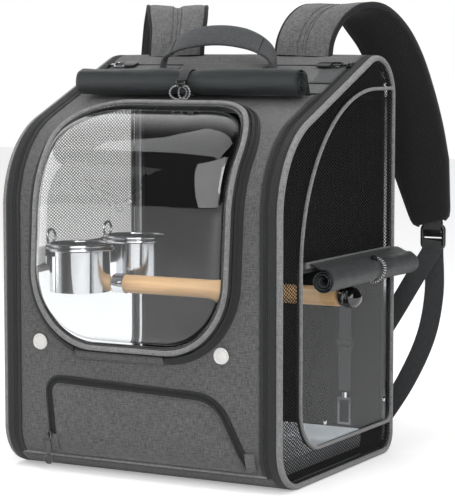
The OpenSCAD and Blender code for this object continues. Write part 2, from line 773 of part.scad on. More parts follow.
module perch() color("burlywood") difference() {
    along_perch(perch_end_x - perch_l) cylinder(h = perch_l, r = perch_r, $fn = 64);
    along_perch(perch_end_x - stud_l - 1) cylinder(h = stud_l + 2, r = stud_r + 0.05, $fn = 48);
}

ferrule_l = 14;

module perch_ferrule() color("silver") along_perch(perch_end_x - perch_l + 2) difference() {
    cylinder(h = ferrule_l, r = perch_r + 0.8, $fn = 64);
    translate([0, 0, -1]) cylinder(h = ferrule_l + 2, r = perch_r, $fn = 64);
}

knob_seat_x = side_x + 1 + pane_t + gap;

module perch_knob() color([0.05, 0.05, 0.05]) {
    along_perch(knob_seat_x) cylinder(h = 4, r = knob_r - 3, $fn = 48);
    along_perch(knob_seat_x + knob_r) sphere(r = knob_r, $fn = 64);
    along_perch(perch_end_x - stud_l)
        cylinder(h = stud_l + knob_seat_x - perch_end_x + 1, r = stud_r, $fn = 48);
}

cup_x = -side_x + cup_r + 7;
lip_r = 1.8;
holder_z = cup_rim_z - lip_r - holder_r - gap;

module cup_at(row) { translate([cup_x, perch_y + row * cup_spread, 0]) children(); }

module cup() color("silver") {
    translate([0, 0, cup_rim_z - cup_h]) difference() {
        cylinder(h = cup_h, r = cup_r, $fn = 96);
        translate([0, 0, cup_t]) cylinder(h = cup_h, r = cup_r - cup_t, $fn = 96);
    }
    // rolled lip
    translate([0, 0, cup_rim_z]) rotate_extrude($fn = 96)
        translate([cup_r + 0.6, 0]) circle(r = lip_r, $fn = 24);
}

bracket_h = 22;
bracket_top = holder_z + 4;
loop_r = 8;

// A wire ring under the cup's lip, its wall bracket and the loop it is pinched by
module cup_holder() color("silver") {
    translate([0, 0, holder_z]) rotate_extrude($fn = 96) translate([cup_r + gap + holder_r, 0])
        circle(r = holder_r, $fn = 24);
    translate([-side_x - cup_x, -8, bracket_top - bracket_h]) cube([2.2, 16, bracket_h]);
    translate([-side_x - cup_x + 2, -3, holder_z - holder_r]) cube([3.2, 6, 2 * holder_r]);
    translate([-side_x - cup_x + 2.8, 0, bracket_top + loop_r - 1]) rotate([0, 90, 0])
        rotate_extrude($fn = 48) translate([loop_r, 0]) circle(r = 1.4, $fn = 16);
}

hook_w = 11;
hook_h = 30;
hook_wire = 2.6;
// The hook can turn right round in front of the back board
tether_y = back_y - wall_t - board_t - norm([hook_w / 2 + hook_wire, hook_wire / 2]) - 3 * gap;

module tether_anchor() color("black")
    translate([tether_x - tether_w / 2 - 2, tether_y + 3, tether_z - 4])
        cube([tether_w + 4, back_y - wall_t - board_t - tether_y - 3, 22]);

// Hanging webbing with its length adjuster
module tether() color([0.1, 0.1, 0.1]) {
    translate([tether_x - tether_w / 2, tether_y - 0.8, tether_z - tether_l]) cube([tether_w, 1.6, tether_l]);
    translate([tether_x - tether_w / 2 - 3, tether_y - 2, tether_z - tether_l * 0.55])
        cube([tether_w + 6, 4, 9]);
}

hook_top = [tether_x, tether_y, tether_z - tether_l - gap];

// The swivel's post and a hook that opens at one side
module swivel_hook() color("silver") translate(hook_top) {
    translate([0, 0, -6]) cylinder(h = 6, r = 3.4, $fn = 40);
    translate([0, 0, -6 - hook_h]) difference() {
        translate([-hook_w / 2 - hook_wire, -hook_wire / 2, 0])
            cube([hook_w + 2 * hook_wire, hook_wire, hook_h + 0.5]);
        translate([-hook_w / 2, -hook_wire, hook_wire]) cube([hook_w, 2 * hook_wire, hook_h - 2 * hook_wire]);
        // the throat
        translate([hook_w / 2 - 1, -hook_wire, hook_wire + 5])
            cube([hook_wire + 2, 2 * hook_wire, hook_h - 12]);
    }
}

module hook_gate() color("silver")
    translate(hook_top
        + [hook_w / 2 + hook_wire / 2 - 0.9, -hook_wire / 2, -6 - hook_h + hook_wire + 5 + gap])
        cube([1.8, hook_wire, hook_h - 12 - 2 * gap]);

base_panel();
back_panel();
top_panel();
on_left() rim();  // left_rim
rim();  // right_rim
on_left() piping();  // left_piping
piping();  // right_piping
on_left() zip_chain();  // left_zip
zip_chain();  // right_zip
on_left() frame_wire();  // left_frame_wire
frame_wire();  // right_frame_wire
on_left() side_panel();  // left_side_panel
side_panel();  // right_side_panel
on_left() side_pane();  // left_side_window
right_pane();  // right_side_window
on_left() inner_piping();  // left_inner_piping
inner_piping();  // right_inner_piping
on_left() side_cover();  // left_cover
side_cover();  // right_cover
on_left() side_cover_tie();  // left_cover_tie
side_cover_tie();  // right_cover_tie
top_band();
back_pad();
floor_board();
back_board();
on_left() shoulder_strap();  // left_shoulder_strap
shoulder_strap();  // right_shoulder_strap
on_left() buckle();  // left_buckle
buckle();  // right_buckle
on_left() webbing();  // left_webbing
webbing();  // right_webbing
on_left() webbing_tail();  // left_webbing_tail
webbing_tail();  // right_webbing_tail
perch();
perch_ferrule();
cup_at(-1) cup_holder();  // front_cup_holder
cup_at(1) cup_holder();  // rear_cup_holder
tether_anchor();
front_panel();
door_tape();
window_zip();
window_hinge_tab();
pocket();
pocket_zip();
snap_buttons();
front_cover();
front_cover_tie();
window_frame();
window_dome();
carry_handle();
perch_knob();
cup_at(-1) cup();  // front_cup
cup_at(1) cup();  // rear_cup
tray();
pocket_pull();
on_left() door_pull();  // left_door_pull
door_pull();  // right_door_pull
tether();
swivel_hook();
hook_gate();
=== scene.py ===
# %% [markdown]
# # A bird carrier worn as a backpack
# The real thing is a soft case sewn from heathered grey cloth over spring-steel hoops. A clear dome
# bulges from its front, its sides are black mesh above a clear window, and a wooden perch and two
# steel cups are inside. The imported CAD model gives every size. Here its fabric walls, straps, zips
# and rolled covers are made again with real cloth edges and stitches, and its hard parts keep
# their shape and get better finishes.

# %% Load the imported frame
import math

import bpy
import numpy as np
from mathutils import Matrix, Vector, geometry, noise


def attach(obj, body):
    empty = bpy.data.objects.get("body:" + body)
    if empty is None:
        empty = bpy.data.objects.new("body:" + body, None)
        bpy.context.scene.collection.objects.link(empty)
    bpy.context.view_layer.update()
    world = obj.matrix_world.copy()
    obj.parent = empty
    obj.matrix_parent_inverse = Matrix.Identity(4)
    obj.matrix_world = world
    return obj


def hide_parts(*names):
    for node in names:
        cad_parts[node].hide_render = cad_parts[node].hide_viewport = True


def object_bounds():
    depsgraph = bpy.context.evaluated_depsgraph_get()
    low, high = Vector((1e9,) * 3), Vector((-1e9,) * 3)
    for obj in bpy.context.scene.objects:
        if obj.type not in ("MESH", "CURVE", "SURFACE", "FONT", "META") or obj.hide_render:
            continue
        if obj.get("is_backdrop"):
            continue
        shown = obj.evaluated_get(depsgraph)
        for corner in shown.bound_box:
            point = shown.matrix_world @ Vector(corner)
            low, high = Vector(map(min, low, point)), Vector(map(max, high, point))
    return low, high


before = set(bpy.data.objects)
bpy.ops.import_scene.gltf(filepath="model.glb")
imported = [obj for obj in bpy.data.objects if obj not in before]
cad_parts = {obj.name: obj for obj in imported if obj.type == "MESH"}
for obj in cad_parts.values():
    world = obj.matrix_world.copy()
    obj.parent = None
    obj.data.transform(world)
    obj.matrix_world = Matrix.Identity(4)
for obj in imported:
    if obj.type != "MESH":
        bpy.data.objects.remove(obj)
cad_low, cad_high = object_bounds()
print("CAD box in mm:", [round(v * 1000) for v in cad_low], [round(v * 1000) for v in cad_high])

# %% [markdown]
# ## Camera, light and background
# The camera stands where the photograph was taken: 28.5 degrees to the right of the front and 5.5
# degrees up. Its lens follows from the fitted focal length of 2016 pixels in a picture 455 pixels
# wide and 500 high, because Blender's sensor width belongs to the long side.

# %% Camera
AZIMUTH, ELEVATION, FOCAL_PX, PICTURE_H = 28.503, 5.537, 2016.43, 500
CAMERA_AT = (1.0524, -1.8818, 0.4357)
az, el = math.radians(AZIMUTH), math.radians(ELEVATION)
camera_data = bpy.data.cameras.new("camera")
camera_data.sensor_width = 36
camera_data.lens = FOCAL_PX * camera_data.sensor_width / PICTURE_H
camera_data.clip_start, camera_data.clip_end = 0.05, 50
looking = Vector((-math.sin(az) * math.cos(el), math.cos(az) * math.cos(el), -math.sin(el)))


def in_scene(name, data, at=(0, 0, 0), towards=None):
    """A new object in the scene, turned to look along a direction where one is given."""
    made = bpy.data.objects.new(name, data)
    made.location = at
    if towards is not None:
        made.rotation_mode = "QUATERNION"
        made.rotation_quaternion = Vector(towards).to_track_quat("-Z", "Y")
    bpy.context.scene.collection.objects.link(made)
    return made


bpy.context.scene.camera = in_scene("camera", camera_data, CAMERA_AT, looking)
bpy.context.scene.view_settings.view_transform = "Standard"
print("lens", round(camera_data.lens, 1), "mm")

# %% [markdown]
# The background is white for the camera, behind the object in reflections and through clear parts,
# but it lights the cloth only at a plain level. Three soft lamps do the rest and aren't mirrored.
# Two pale cards that light nothing are mirrored in the dome as its long highlights.

# %% World and lamps
def put(tree, socket, value):
    """Feeds an input from another socket, or gives it a plain value."""
    if isinstance(value, bpy.types.NodeSocket):
        tree.links.new(value, socket)
    else:
        socket.default_value = value


def feed(tree, made, **values):
    """Sets a node's properties and inputs by name; i0 and i1 are inputs by number."""
    for name, value in values.items():
        if hasattr(made, name):
            setattr(made, name, value)
        else:
            put(tree, made.inputs[int(name[1:]) if name[1:].isdigit() else name.replace("_", " ")], value)
    return made


def node(tree, kind, **values):
    """A new node with its properties and inputs set."""
    return feed(tree, tree.nodes.new(kind), **values)


def math_node(tree, operation, *values, clamp=False):
    """One Math node; gives its output."""
    made = node(tree, "ShaderNodeMath", operation=operation, use_clamp=clamp)
    for socket, value in zip(made.inputs, values):
        put(tree, socket, value)
    return made.outputs[0]


def ranged(tree, value, from_min=0.0, from_max=1.0, to_min=0.0, to_max=1.0, kind="LINEAR"):
    """A Map Range node; gives its output."""
    return node(tree, "ShaderNodeMapRange", interpolation_type=kind, Value=value, From_Min=from_min,
                From_Max=from_max, To_Min=to_min, To_Max=to_max).outputs[0]


world = bpy.data.worlds.new("studio")
world.use_nodes = True
bpy.context.scene.world = world
sky = world.node_tree
rays = node(sky, "ShaderNodeLightPath").outputs
# light that went through a clear part after a bounce inside isn't looking at the background
bounced = math_node(sky, "ADD", rays["Diffuse Depth"], rays["Glossy Depth"], clamp=True)
through = math_node(sky, "SUBTRACT", rays["Is Transmission Ray"], bounced, clamp=True)
seen = math_node(sky, "ADD", rays["Is Camera Ray"], through, clamp=True)
# reflections show the white background behind the object and a darker studio in front of it
direction = node(sky, "ShaderNodeSeparateXYZ", Vector=node(sky, "ShaderNodeTexCoord").outputs["Generated"])
behind = ranged(sky, direction.outputs["Y"], 0.0, 0.6, 0.12, 1.0, "SMOOTHSTEP")
# to the right the studio is dark, which keeps the right-hand window black
leftward = ranged(sky, direction.outputs["X"], 0.3, 0.0, 0.03, 1.0, "SMOOTHSTEP")
glossy = math_node(sky, "MULTIPLY", math_node(sky, "MULTIPLY", behind, leftward), rays["Is Glossy Ray"])
STUDIO_LEVEL = 0.62
rest = math_node(sky, "MULTIPLY", math_node(sky, "SUBTRACT", 1.0, rays["Is Glossy Ray"]), STUDIO_LEVEL)
level = math_node(sky, "MAXIMUM", seen, math_node(sky, "ADD", glossy, rest))
feed(sky, sky.nodes["Background"], Color=(1, 1, 1, 1), Strength=level)


def lamp(name, at, aim, size, power, lights=True, mirrored=True):
    """A soft rectangular lamp at a point, facing another. It may light only, or only be mirrored."""
    data = bpy.data.lights.new(name, "AREA")
    data.shape, data.size, data.size_y, data.energy = "RECTANGLE", size[0], size[1], power
    made = in_scene(name, data, at, Vector(aim) - Vector(at))
    made.visible_diffuse, made.visible_glossy = lights, mirrored


MIDDLE = (0, 0, 0.22)
lamp("lamp_top", (-0.2, -0.5, 2.0), MIDDLE, (1.6, 1.2), 20, mirrored=False)
lamp("lamp_front_left", (-1.5, -1.6, 1.1), MIDDLE, (0.8, 1.3), 3, mirrored=False)
lamp("lamp_right", (1.7, -1.9, 1.4), MIDDLE, (0.6, 1.3), 30, mirrored=False)
# seen only in reflections: a pale panel to the left and a tall one in front, for the dome's right flank
lamp("card_left", (-1.7, -0.55, 0.35), MIDDLE, (1.1, 1.9), 16, lights=False)
lamp("card_front", (0.593, -1.71, 1.065), MIDDLE, (2.1, 1.87), 34, lights=False)

FLOOR_HALF, FLOOR_GLOW = 6, 0.34
floor_mesh = bpy.data.meshes.new("floor")
floor_mesh.from_pydata([(x * FLOOR_HALF, y * FLOOR_HALF, 0)
                        for x, y in ((-1, -1), (1, -1), (1, 1), (-1, 1))],
                       [], [(0, 1, 2, 3)])
in_scene("floor", floor_mesh)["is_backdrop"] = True
floor_finish = bpy.data.materials.new("floor_white")
floor_finish.use_nodes = True
floor_tree = floor_finish.node_tree
floor_rays = node(floor_tree, "ShaderNodeLightPath").outputs
floor_seen = math_node(floor_tree, "ADD", floor_rays["Is Camera Ray"], floor_rays["Is Glossy Ray"],
                       clamp=True)
floor_seen = math_node(floor_tree, "ADD", floor_seen, floor_rays["Is Transmission Ray"], clamp=True)
feed(floor_tree, floor_tree.nodes["Principled BSDF"], Base_Color=(0.86, 0.86, 0.86, 1), Roughness=0.9,
     Specular_IOR_Level=0.1, Emission_Color=(1, 1, 1, 1),
     Emission_Strength=math_node(floor_tree, "MULTIPLY", floor_seen, FLOOR_GLOW))
floor_mesh.materials.append(floor_finish)
print("floor, 3 lamps, 2 cards and world made")

# %% [markdown]
# ## Sizes and paths
# Seen from the side, the case is one rounded outline. The same outline, moved in or out, gives the
# piping, the rims and the zips, so it is written once here with the sizes of the CAD source.

# %% The outline of the case, in millimetres
HALF_W, FRONT, BACK = 165.0, -137.5, 137.5
SHOULDER_Z, ROOF_DEG = 343.6, 22.5
TOE_R, HEEL_R, CROWN_R, SHOULDER_R = 45.0, 22.0, 45.0, 102.0
SIDE_X, RIM_X, CHAIN_X, DOOR_HALF = 160.5, 150.0, 146.4, 146.0
DOOR_TOP, BAND_Y, ZIP_END_Y = -15.0, 11.0, 62.0
SEAM_Z, INNER_FRONT, INNER_BACK, INNER_LOW = 222.0, -94.5, 129.1, 36.0
ARC_STEP = 2.5  # degrees
ROOF_TAN = math.tan(math.radians(ROOF_DEG))
ROOF_ALONG = np.array([math.cos(math.radians(ROOF_DEG)), math.sin(math.radians(ROOF_DEG))])
ROOF_OUT = np.array([-ROOF_ALONG[1], ROOF_ALONG[0]])
ALONG3, OUT3 = np.array([0, *ROOF_ALONG]), np.array([0, *ROOF_OUT])
SIDES = ((-1, "left"), (1, "right"))


def unit(v):
    return v / np.linalg.norm(v)


def roof_z(y, inset=0.0):
    """Height of the roof at a depth y."""
    return SHOULDER_Z + (y - FRONT) * ROOF_TAN - inset / ROOF_ALONG[0]


def corner_arc(before, corner, after, radius):
    """Points of a rounded corner."""
    before, corner, after = (np.array(p[:2], float) for p in (before, corner, after))
    to_before, to_after = unit(before - corner), unit(after - corner)
    half = math.acos(to_before @ to_after) / 2
    centre = corner + unit(to_before + to_after) * radius / math.sin(half)
    first = corner + to_before * radius / math.tan(half) - centre
    last = corner + to_after * radius / math.tan(half) - centre
    start = math.atan2(first[1], first[0])
    turn = (math.degrees(math.atan2(last[1], last[0]) - start) + 540) % 360 - 180
    steps = max(2, math.ceil(abs(turn) / ARC_STEP))
    angles = [start + math.radians(turn) * i / steps for i in range(steps + 1)]
    return [centre + radius * np.array([math.cos(a), math.sin(a)]) for a in angles]


def rounded(corners):
    """A closed outline through corners (a, b, radius)."""
    count = len(corners)
    return [p for i in range(count)
            for p in corner_arc(corners[i - 1], corners[i], corners[(i + 1) % count], corners[i][2])]


def side_outline(inset):
    """The case seen from the side, as (y, z)."""
    return rounded([
        (FRONT + inset, inset, TOE_R - inset),
        (BACK - inset, inset, HEEL_R - inset),
        (BACK - inset, roof_z(BACK - inset, inset), CROWN_R - inset),
        (FRONT + inset, roof_z(FRONT + inset, inset), SHOULDER_R - inset)])


def arc(centre, radius, start, end):
    """Points on a circle between two angles in degrees."""
    steps = max(2, math.ceil(abs(end - start) / ARC_STEP))
    angles = [math.radians(start + (end - start) * i / steps) for i in range(steps + 1)]
    return [np.array(centre) + radius * np.array([math.cos(a), math.sin(a)]) for a in angles]


def spaced(points, step, closed=False):
    """The same path with points a fixed step apart."""
    points = np.array(points, float)
    if closed:
        points = np.vstack([points, points[:1]])
    ends = np.concatenate([[0], np.cumsum(np.linalg.norm(np.diff(points, axis=0), axis=1))])
    count = max(2, round(ends[-1] / step))
    at = np.linspace(0, ends[-1], count + 1)
    if closed:
        at = at[:-1]
    return np.column_stack([np.interp(at, ends, points[:, k]) for k in range(points.shape[1])])


class Profile:
    """A path (y, z) over the case, known by the length along it, with the way out of the cloth."""

    def __init__(self, points):
        points = np.array(points, float)
        keep = np.concatenate([[True], np.linalg.norm(np.diff(points, axis=0), axis=1) > 1e-6])
        self.points = points[keep]
        steps = np.diff(self.points, axis=0)
        lengths = np.linalg.norm(steps, axis=1)
        self.ends = np.concatenate([[0], np.cumsum(lengths)])
        outs = np.column_stack([-steps[:, 1], steps[:, 0]]) / lengths[:, None]
        self.outs = np.vstack([outs[:1], (outs[1:] + outs[:-1]) / 2, outs[-1:]])
        self.length = self.ends[-1]

    def out(self, s):
        return unit(np.array([np.interp(s, self.ends, self.outs[:, k]) for k in (0, 1)]))

    def at(self, x, s, high=0.0):
        """The point a length s along the path and high above the cloth."""
        place = [np.interp(s, self.ends, self.points[:, k]) for k in (0, 1)] + self.out(s) * high
        return np.array([x, place[0], place[1]])

    def s_of_z(self, z):
        return float(np.interp(z, self.points[:, 1], self.ends))

    def s_of_y(self, y):
        return float(np.interp(y, self.points[:, 0], self.ends))


toe = arc((FRONT + TOE_R, TOE_R), TOE_R, 220, 180)
shoulder = corner_arc((FRONT, 0), (FRONT, roof_z(FRONT)), (BACK, roof_z(BACK)), SHOULDER_R)
crown = corner_arc((FRONT, roof_z(FRONT)), (BACK, roof_z(BACK)), (BACK, 0), CROWN_R)
front = Profile(toe + shoulder + [(DOOR_TOP, roof_z(DOOR_TOP))])
roof = Profile([(DOOR_TOP + 0.4, roof_z(DOOR_TOP + 0.4))] + crown)
zip_path = Profile(toe + shoulder + [(ZIP_END_Y, roof_z(ZIP_END_Y))])
under = Profile(arc((BACK - HEEL_R, HEEL_R), HEEL_R, 0, -90)
                + arc((FRONT + TOE_R, TOE_R), TOE_R, 270, 220.5))
CROWN_LOW = roof.points[-1][1]
print("front panel", round(front.length), "mm long, roof", round(roof.length), "mm, base",
      round(under.length), "mm")

# %% [markdown]
# ## Tools for making pieces
# A piece collects grids of points: a strap is a section carried along a path, a button is a profile
# turned about an axis, a wall is a rectangle laid on the profile. Each grid also gets a flat map
# measured in metres, like the cut cloth, so that threads keep their size and follow the piece.

# %% Shape: points, faces and the cloth map
MM = 0.001
CASE_MIDDLE = np.array([0.0, 0.0, 200.0])


class Shape:
    """Collects the parts of one piece."""

    def __init__(self):
        self.points, self.faces, self.maps, self.finishes = [], [], [], []

    def add(self, points, faces, maps, finishes, away_from=None):
        """Adds one part. A closed part is turned to face outwards, a sheet to face away from a point."""
        points = np.array(points, float)
        if away_from is None:
            volume = 0.0
            for face in faces:
                a = points[face[0]]
                for i in range(1, len(face) - 1):
                    volume += a @ np.cross(points[face[i]], points[face[i + 1]])
            turned = volume < 0
        else:
            side = 0.0
            for face in faces:
                a, b, c = (points[face[k]] for k in (0, 1, 2))
                side += np.cross(b - a, c - a) @ ((a + b + c) / 3 - away_from)
            turned = side < 0
        base = len(self.points)
        self.points.extend(points)
        for face, spots, finish in zip(faces, maps, finishes):
            face, spots = [base + i for i in face], list(spots)
            if turned:
                face, spots = face[::-1], spots[::-1]
            self.faces.append(face)
            self.maps.append(spots)
            self.finishes.append(finish)

    def grid(self, rows, ring=False, loop=False, caps=False, finish=0, away_from=None):
        """A grid of points. ring joins each row's end to its start, loop the last row to the first."""
        rows = np.array(rows, float)
        n, m = rows.shape[:2]
        across = np.linalg.norm(np.diff(rows, axis=1, append=rows[:, :1]), axis=2).mean(axis=0)
        along = np.linalg.norm(np.diff(rows, axis=0, append=rows[:1]), axis=2).mean(axis=1)
        u = np.concatenate([[0], np.cumsum(across)]) * MM
        v = np.concatenate([[0], np.cumsum(along)]) * MM
        faces, maps, finishes = [], [], []
        for i in range(n if loop else n - 1):
            for j in range(m if ring else m - 1):
                i2, j2 = (i + 1) % n, (j + 1) % m
                faces.append((i * m + j, i * m + j2, i2 * m + j2, i2 * m + j))
                maps.append(((u[j], v[i]), (u[j + 1], v[i]), (u[j + 1], v[i + 1]), (u[j], v[i + 1])))
                finishes.append(finish(i, j) if callable(finish) else finish)
        if caps:
            for i, order in ((0, 1), (n - 1, -1)):
                face = [i * m + j for j in range(m)][::order]
                faces.append(face[::-1])
                maps.append([(u[k % m], v[i]) for k in face])
                finishes.append(finish(min(i, n - 2), 0) if callable(finish) else finish)
        self.add(rows.reshape(-1, 3), faces, maps, finishes, away_from)
        return self

    def sweep(self, path, sides, section, loop=False, finish=0):
        """A closed section of (across, out) points carried along a path."""
        path = np.array(path, float)
        n = len(path)
        rows = []
        for i in range(n):
            before = path[i - 1] if loop or i else path[0]
            after = path[(i + 1) % n] if loop or i < n - 1 else path[-1]
            along = unit(after - before)
            side = np.array(sides[i] if len(np.shape(sides)) > 1 else sides, float)
            side = unit(side - along * (side @ along))
            out = np.cross(along, side)
            shape = section(i) if callable(section) else section
            rows.append([path[i] + side * p[0] + out * p[1] for p in shape])
        return self.grid(rows, ring=True, loop=loop, caps=not loop, finish=finish)

    def tube(self, path, radius, loop=False, sides=(1, 0, 0), count=10, finish=0):
        """A round tube."""
        return self.sweep(path, sides, oval(2 * radius, 2 * radius, count, 1.0), loop, finish)

    def lathe(self, at, axis, profile, count=32, finish=0):
        """A profile of (radius, height) turned about an axis. A profile that closes on itself is a ring."""
        axis = unit(np.array(axis, float))
        helper = np.array([1.0, 0, 0]) if abs(axis[0]) < 0.9 else np.array([0, 1.0, 0])
        side = unit(np.cross(axis, helper))
        other = np.cross(axis, side)
        at = np.array(at, float)
        rows = [[at + axis * h + (side * math.cos(a) + other * math.sin(a)) * r
                 for a in np.linspace(0, 2 * math.pi, count, endpoint=False)] for r, h in profile]
        closed = profile[0] == profile[-1]
        if closed:
            rows = rows[:-1]
        return self.grid(rows, ring=True, loop=closed, caps=not closed, finish=finish)

    def make(self, name, body, slot, finishes, replaces=(), thick=0.0, lining=False):
        """Makes the Blender object and says what it rides on. thick is the cloth's thickness, in mm."""
        mesh = bpy.data.meshes.new(name)
        mesh.from_pydata([tuple(p * MM) for p in self.points], [], self.faces)
        layer = mesh.uv_layers.new(name="cloth")
        corners = [c for spots in self.maps for c in spots]
        layer.data.foreach_set("uv", np.array(corners, np.float32).ravel())
        mesh.polygons.foreach_set("material_index", self.finishes)
        mesh.polygons.foreach_set("use_smooth", [True] * len(self.faces))
        for finish in finishes:
            mesh.materials.append(finish)
        mesh.validate()
        mesh.set_sharp_from_angle(angle=math.radians(50))
        made = in_scene(name, mesh)
        if thick:
            wall = made.modifiers.new("thickness", "SOLIDIFY")
            wall.thickness, wall.offset = thick * MM, -1
            wall.material_offset = 1 if lining else 0
        return declare(made, body, slot, replaces)


def declare(made, body, slot, replaces=()):
    """Says which body a piece rides on and the CAD nodes that it stands for; its material slot is not used.
    """
    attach(made, body)
    if replaces:
        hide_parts(*replaces)
    return made


def oval(width, height, count=16, power=0.5):
    """A rounded section, from a circle (power 1) towards a rectangle (power 0)."""
    angles = np.linspace(0, 2 * math.pi, count, endpoint=False)
    return [(width / 2 * math.copysign(abs(math.cos(a)) ** power, math.cos(a)),
             height / 2 * math.copysign(abs(math.sin(a)) ** power, math.sin(a))) for a in angles]


def smooth_path(points, steps):
    """A smooth curve through points, with the same rule as the CAD source."""
    p = np.array(points, float)
    made = []
    for i in range(len(p) - 1):
        a, b, c, d = p[max(i - 1, 0)], p[i], p[i + 1], p[min(i + 2, len(p) - 1)]
        for k in range(steps):
            t = k / steps
            made.append(0.5 * (2 * b + (c - a) * t + (2 * a - 5 * b + 4 * c - d) * t * t
                               + (3 * b - a - 3 * c + d) * t ** 3))
    return made + [p[-1]]


def bumps(x, y, size, seed=0.0):
    """Smooth noise from -1 to 1 with hills about size mm wide."""
    return noise.noise(Vector((x / size, y / size, seed)))


print("tools ready")

# %% [markdown]
# ## Finishes
# Five effects are used again and again, so each is a node group: the plain weave whose threads
# differ in shade (heathering), the ribs of webbing, the cells of padded air mesh with painted shade
# in them, a slow mottle that keeps a large surface from looking printed, and fine scratches. They
# read the cloth map or the object's own place, so they stay put in every view and on every moving part.

# %% Shared node groups
def new_group(name, inputs, outputs):
    """An empty shader group; gives the tree, its inputs as sockets to read and its outputs to feed."""
    tree = bpy.data.node_groups.new(name, "ShaderNodeTree")
    for label, value in inputs:
        kind = "NodeSocketVector" if value is None else "NodeSocketFloat"
        socket = tree.interface.new_socket(label, in_out="INPUT", socket_type=kind)
        if value is not None:
            socket.default_value = value
    for label in outputs:
        tree.interface.new_socket(label, in_out="OUTPUT", socket_type="NodeSocketFloat")
    return tree, tree.nodes.new("NodeGroupInput").outputs, tree.nodes.new("NodeGroupOutput").inputs


def scaled(tree, vector, factor, by=(1, 1, 1)):
    """A vector times a factor, then stretched on each axis."""
    spread = node(tree, "ShaderNodeVectorMath", operation="MULTIPLY", i0=vector, i1=by).outputs[0]
    return node(tree, "ShaderNodeVectorMath", operation="SCALE", i0=spread, Scale=factor).outputs[0]


def build_weave():
    """Plain weave: threads over and under each other, each thread a little lighter or darker."""
    tree, given, gives = new_group("heather_weave", [("Vector", None), ("Pitch", 0.0008)],
                                   ["Shade", "Height"])
    per_thread = math_node(tree, "DIVIDE", 1.0, given["Pitch"])
    place = node(tree, "ShaderNodeSeparateXYZ", Vector=scaled(tree, given["Vector"], per_thread))
    x, y = place.outputs["X"], place.outputs["Y"]
    over = math_node(tree, "PINGPONG",
                     math_node(tree, "ADD", math_node(tree, "FLOOR", x), math_node(tree, "FLOOR", y)), 1.0)
    warp = math_node(tree, "ABSOLUTE", math_node(tree, "SINE", math_node(tree, "MULTIPLY", x, math.pi)))
    weft = math_node(tree, "ABSOLUTE", math_node(tree, "SINE", math_node(tree, "MULTIPLY", y, math.pi)))
    mix = node(tree, "ShaderNodeMix", Factor=over, A=warp, B=weft)
    tree.links.new(mix.outputs["Result"], gives["Height"])
    shades = [node(tree, "ShaderNodeTexNoise", Vector=scaled(tree, given["Vector"], per_thread, by),
                   Scale=1.0,
                   Detail=2.0).outputs[0] for by in ((0.75, 0.11, 1), (0.11, 0.75, 1))]
    both = math_node(tree, "ADD", *[math_node(tree, "MULTIPLY", s, 0.5) for s in shades])
    tree.links.new(ranged(tree, both, 0.36, 0.64), gives["Shade"])
    return tree


def build_ribs():
    """Webbing: ribs across the tape and a fine thread line along it."""
    tree, given, gives = new_group("webbing_ribs", [("Vector", None), ("Pitch", 0.0013)],
                                   ["Shade", "Height"])
    per_rib = math_node(tree, "DIVIDE", 1.0, given["Pitch"])
    place = node(tree, "ShaderNodeSeparateXYZ", Vector=scaled(tree, given["Vector"], per_rib))
    slant = math_node(tree, "MULTIPLY", math_node(tree, "PINGPONG", place.outputs["X"], 1.0), 0.8)
    wave = math_node(tree, "SINE",
                     math_node(tree, "MULTIPLY", math_node(tree, "ADD", place.outputs["Y"], slant),
                               2 * math.pi))
    tree.links.new(ranged(tree, wave, -1.0, 1.0), gives["Height"])
    grain = node(tree, "ShaderNodeTexNoise", Vector=scaled(tree, given["Vector"], per_rib, (1.2, 0.2, 1)),
                 Scale=1.0)
    tree.links.new(grain.outputs[0], gives["Shade"])
    return tree


def build_air_mesh():
    """Padded mesh: rows of small cells between raised threads, darkened with painted shade."""
    tree, given, gives = new_group("air_mesh", [("Vector", None), ("Pitch", 0.003)], ["Cell", "Height"])
    place = node(tree, "ShaderNodeSeparateXYZ",
                 Vector=scaled(tree, given["Vector"], math_node(tree, "DIVIDE", math.pi, given["Pitch"])))
    x, y = place.outputs["X"], math_node(tree, "MULTIPLY", place.outputs["Y"], 0.6)
    one = math_node(tree, "ABSOLUTE", math_node(tree, "SINE", math_node(tree, "ADD", x, y)))
    two = math_node(tree, "ABSOLUTE", math_node(tree, "SINE", math_node(tree, "SUBTRACT", x, y)))
    # the cells are the mesh's openings; their darker colour is painted shade
    painted_cell_shade = ranged(tree, math_node(tree, "MULTIPLY", one, two), 0.25, 0.6, kind="SMOOTHSTEP")
    tree.links.new(painted_cell_shade, gives["Cell"])
    tree.links.new(math_node(tree, "SUBTRACT", 1.0, painted_cell_shade), gives["Height"])
    return tree


def build_mottle():
    """Slow unevenness around 1."""
    tree, given, gives = new_group("mottle", [("Vector", None), ("Scale", 25.0), ("Amount", 0.15)],
                                   ["Factor"])
    cloud = node(tree, "ShaderNodeTexNoise", Vector=given["Vector"], Scale=given["Scale"], Detail=4.0)
    away = math_node(tree, "SUBTRACT", cloud.outputs[0], 0.5)
    tree.links.new(math_node(tree, "ADD", 1.0, math_node(tree, "MULTIPLY", away, given["Amount"])),
                   gives["Factor"])
    return tree


def build_scratches():
    """Fine lines drawn out along one axis, as brushing and handling leave."""
    tree, given, gives = new_group("fine_lines", [("Vector", None), ("Scale", 400.0)], ["Lines"])
    lines = node(tree, "ShaderNodeTexNoise", Vector=given["Vector"], Scale=given["Scale"], Detail=5.0,
                 Roughness=0.7)
    tree.links.new(lines.outputs[0], gives["Lines"])
    return tree


WEAVE, RIBS, AIR_MESH, MOTTLE, LINES = (build_weave(), build_ribs(), build_air_mesh(), build_mottle(),
                                        build_scratches())
print("node groups:", [g.name for g in (WEAVE, RIBS, AIR_MESH, MOTTLE, LINES)])

# %% [markdown]
# A cloth finish mixes a dark and a light thread colour by the weave's shade, times the mottle, and
# gives the threads a small height. Sheen, the soft glow of fibres at a slant, is a plain number.

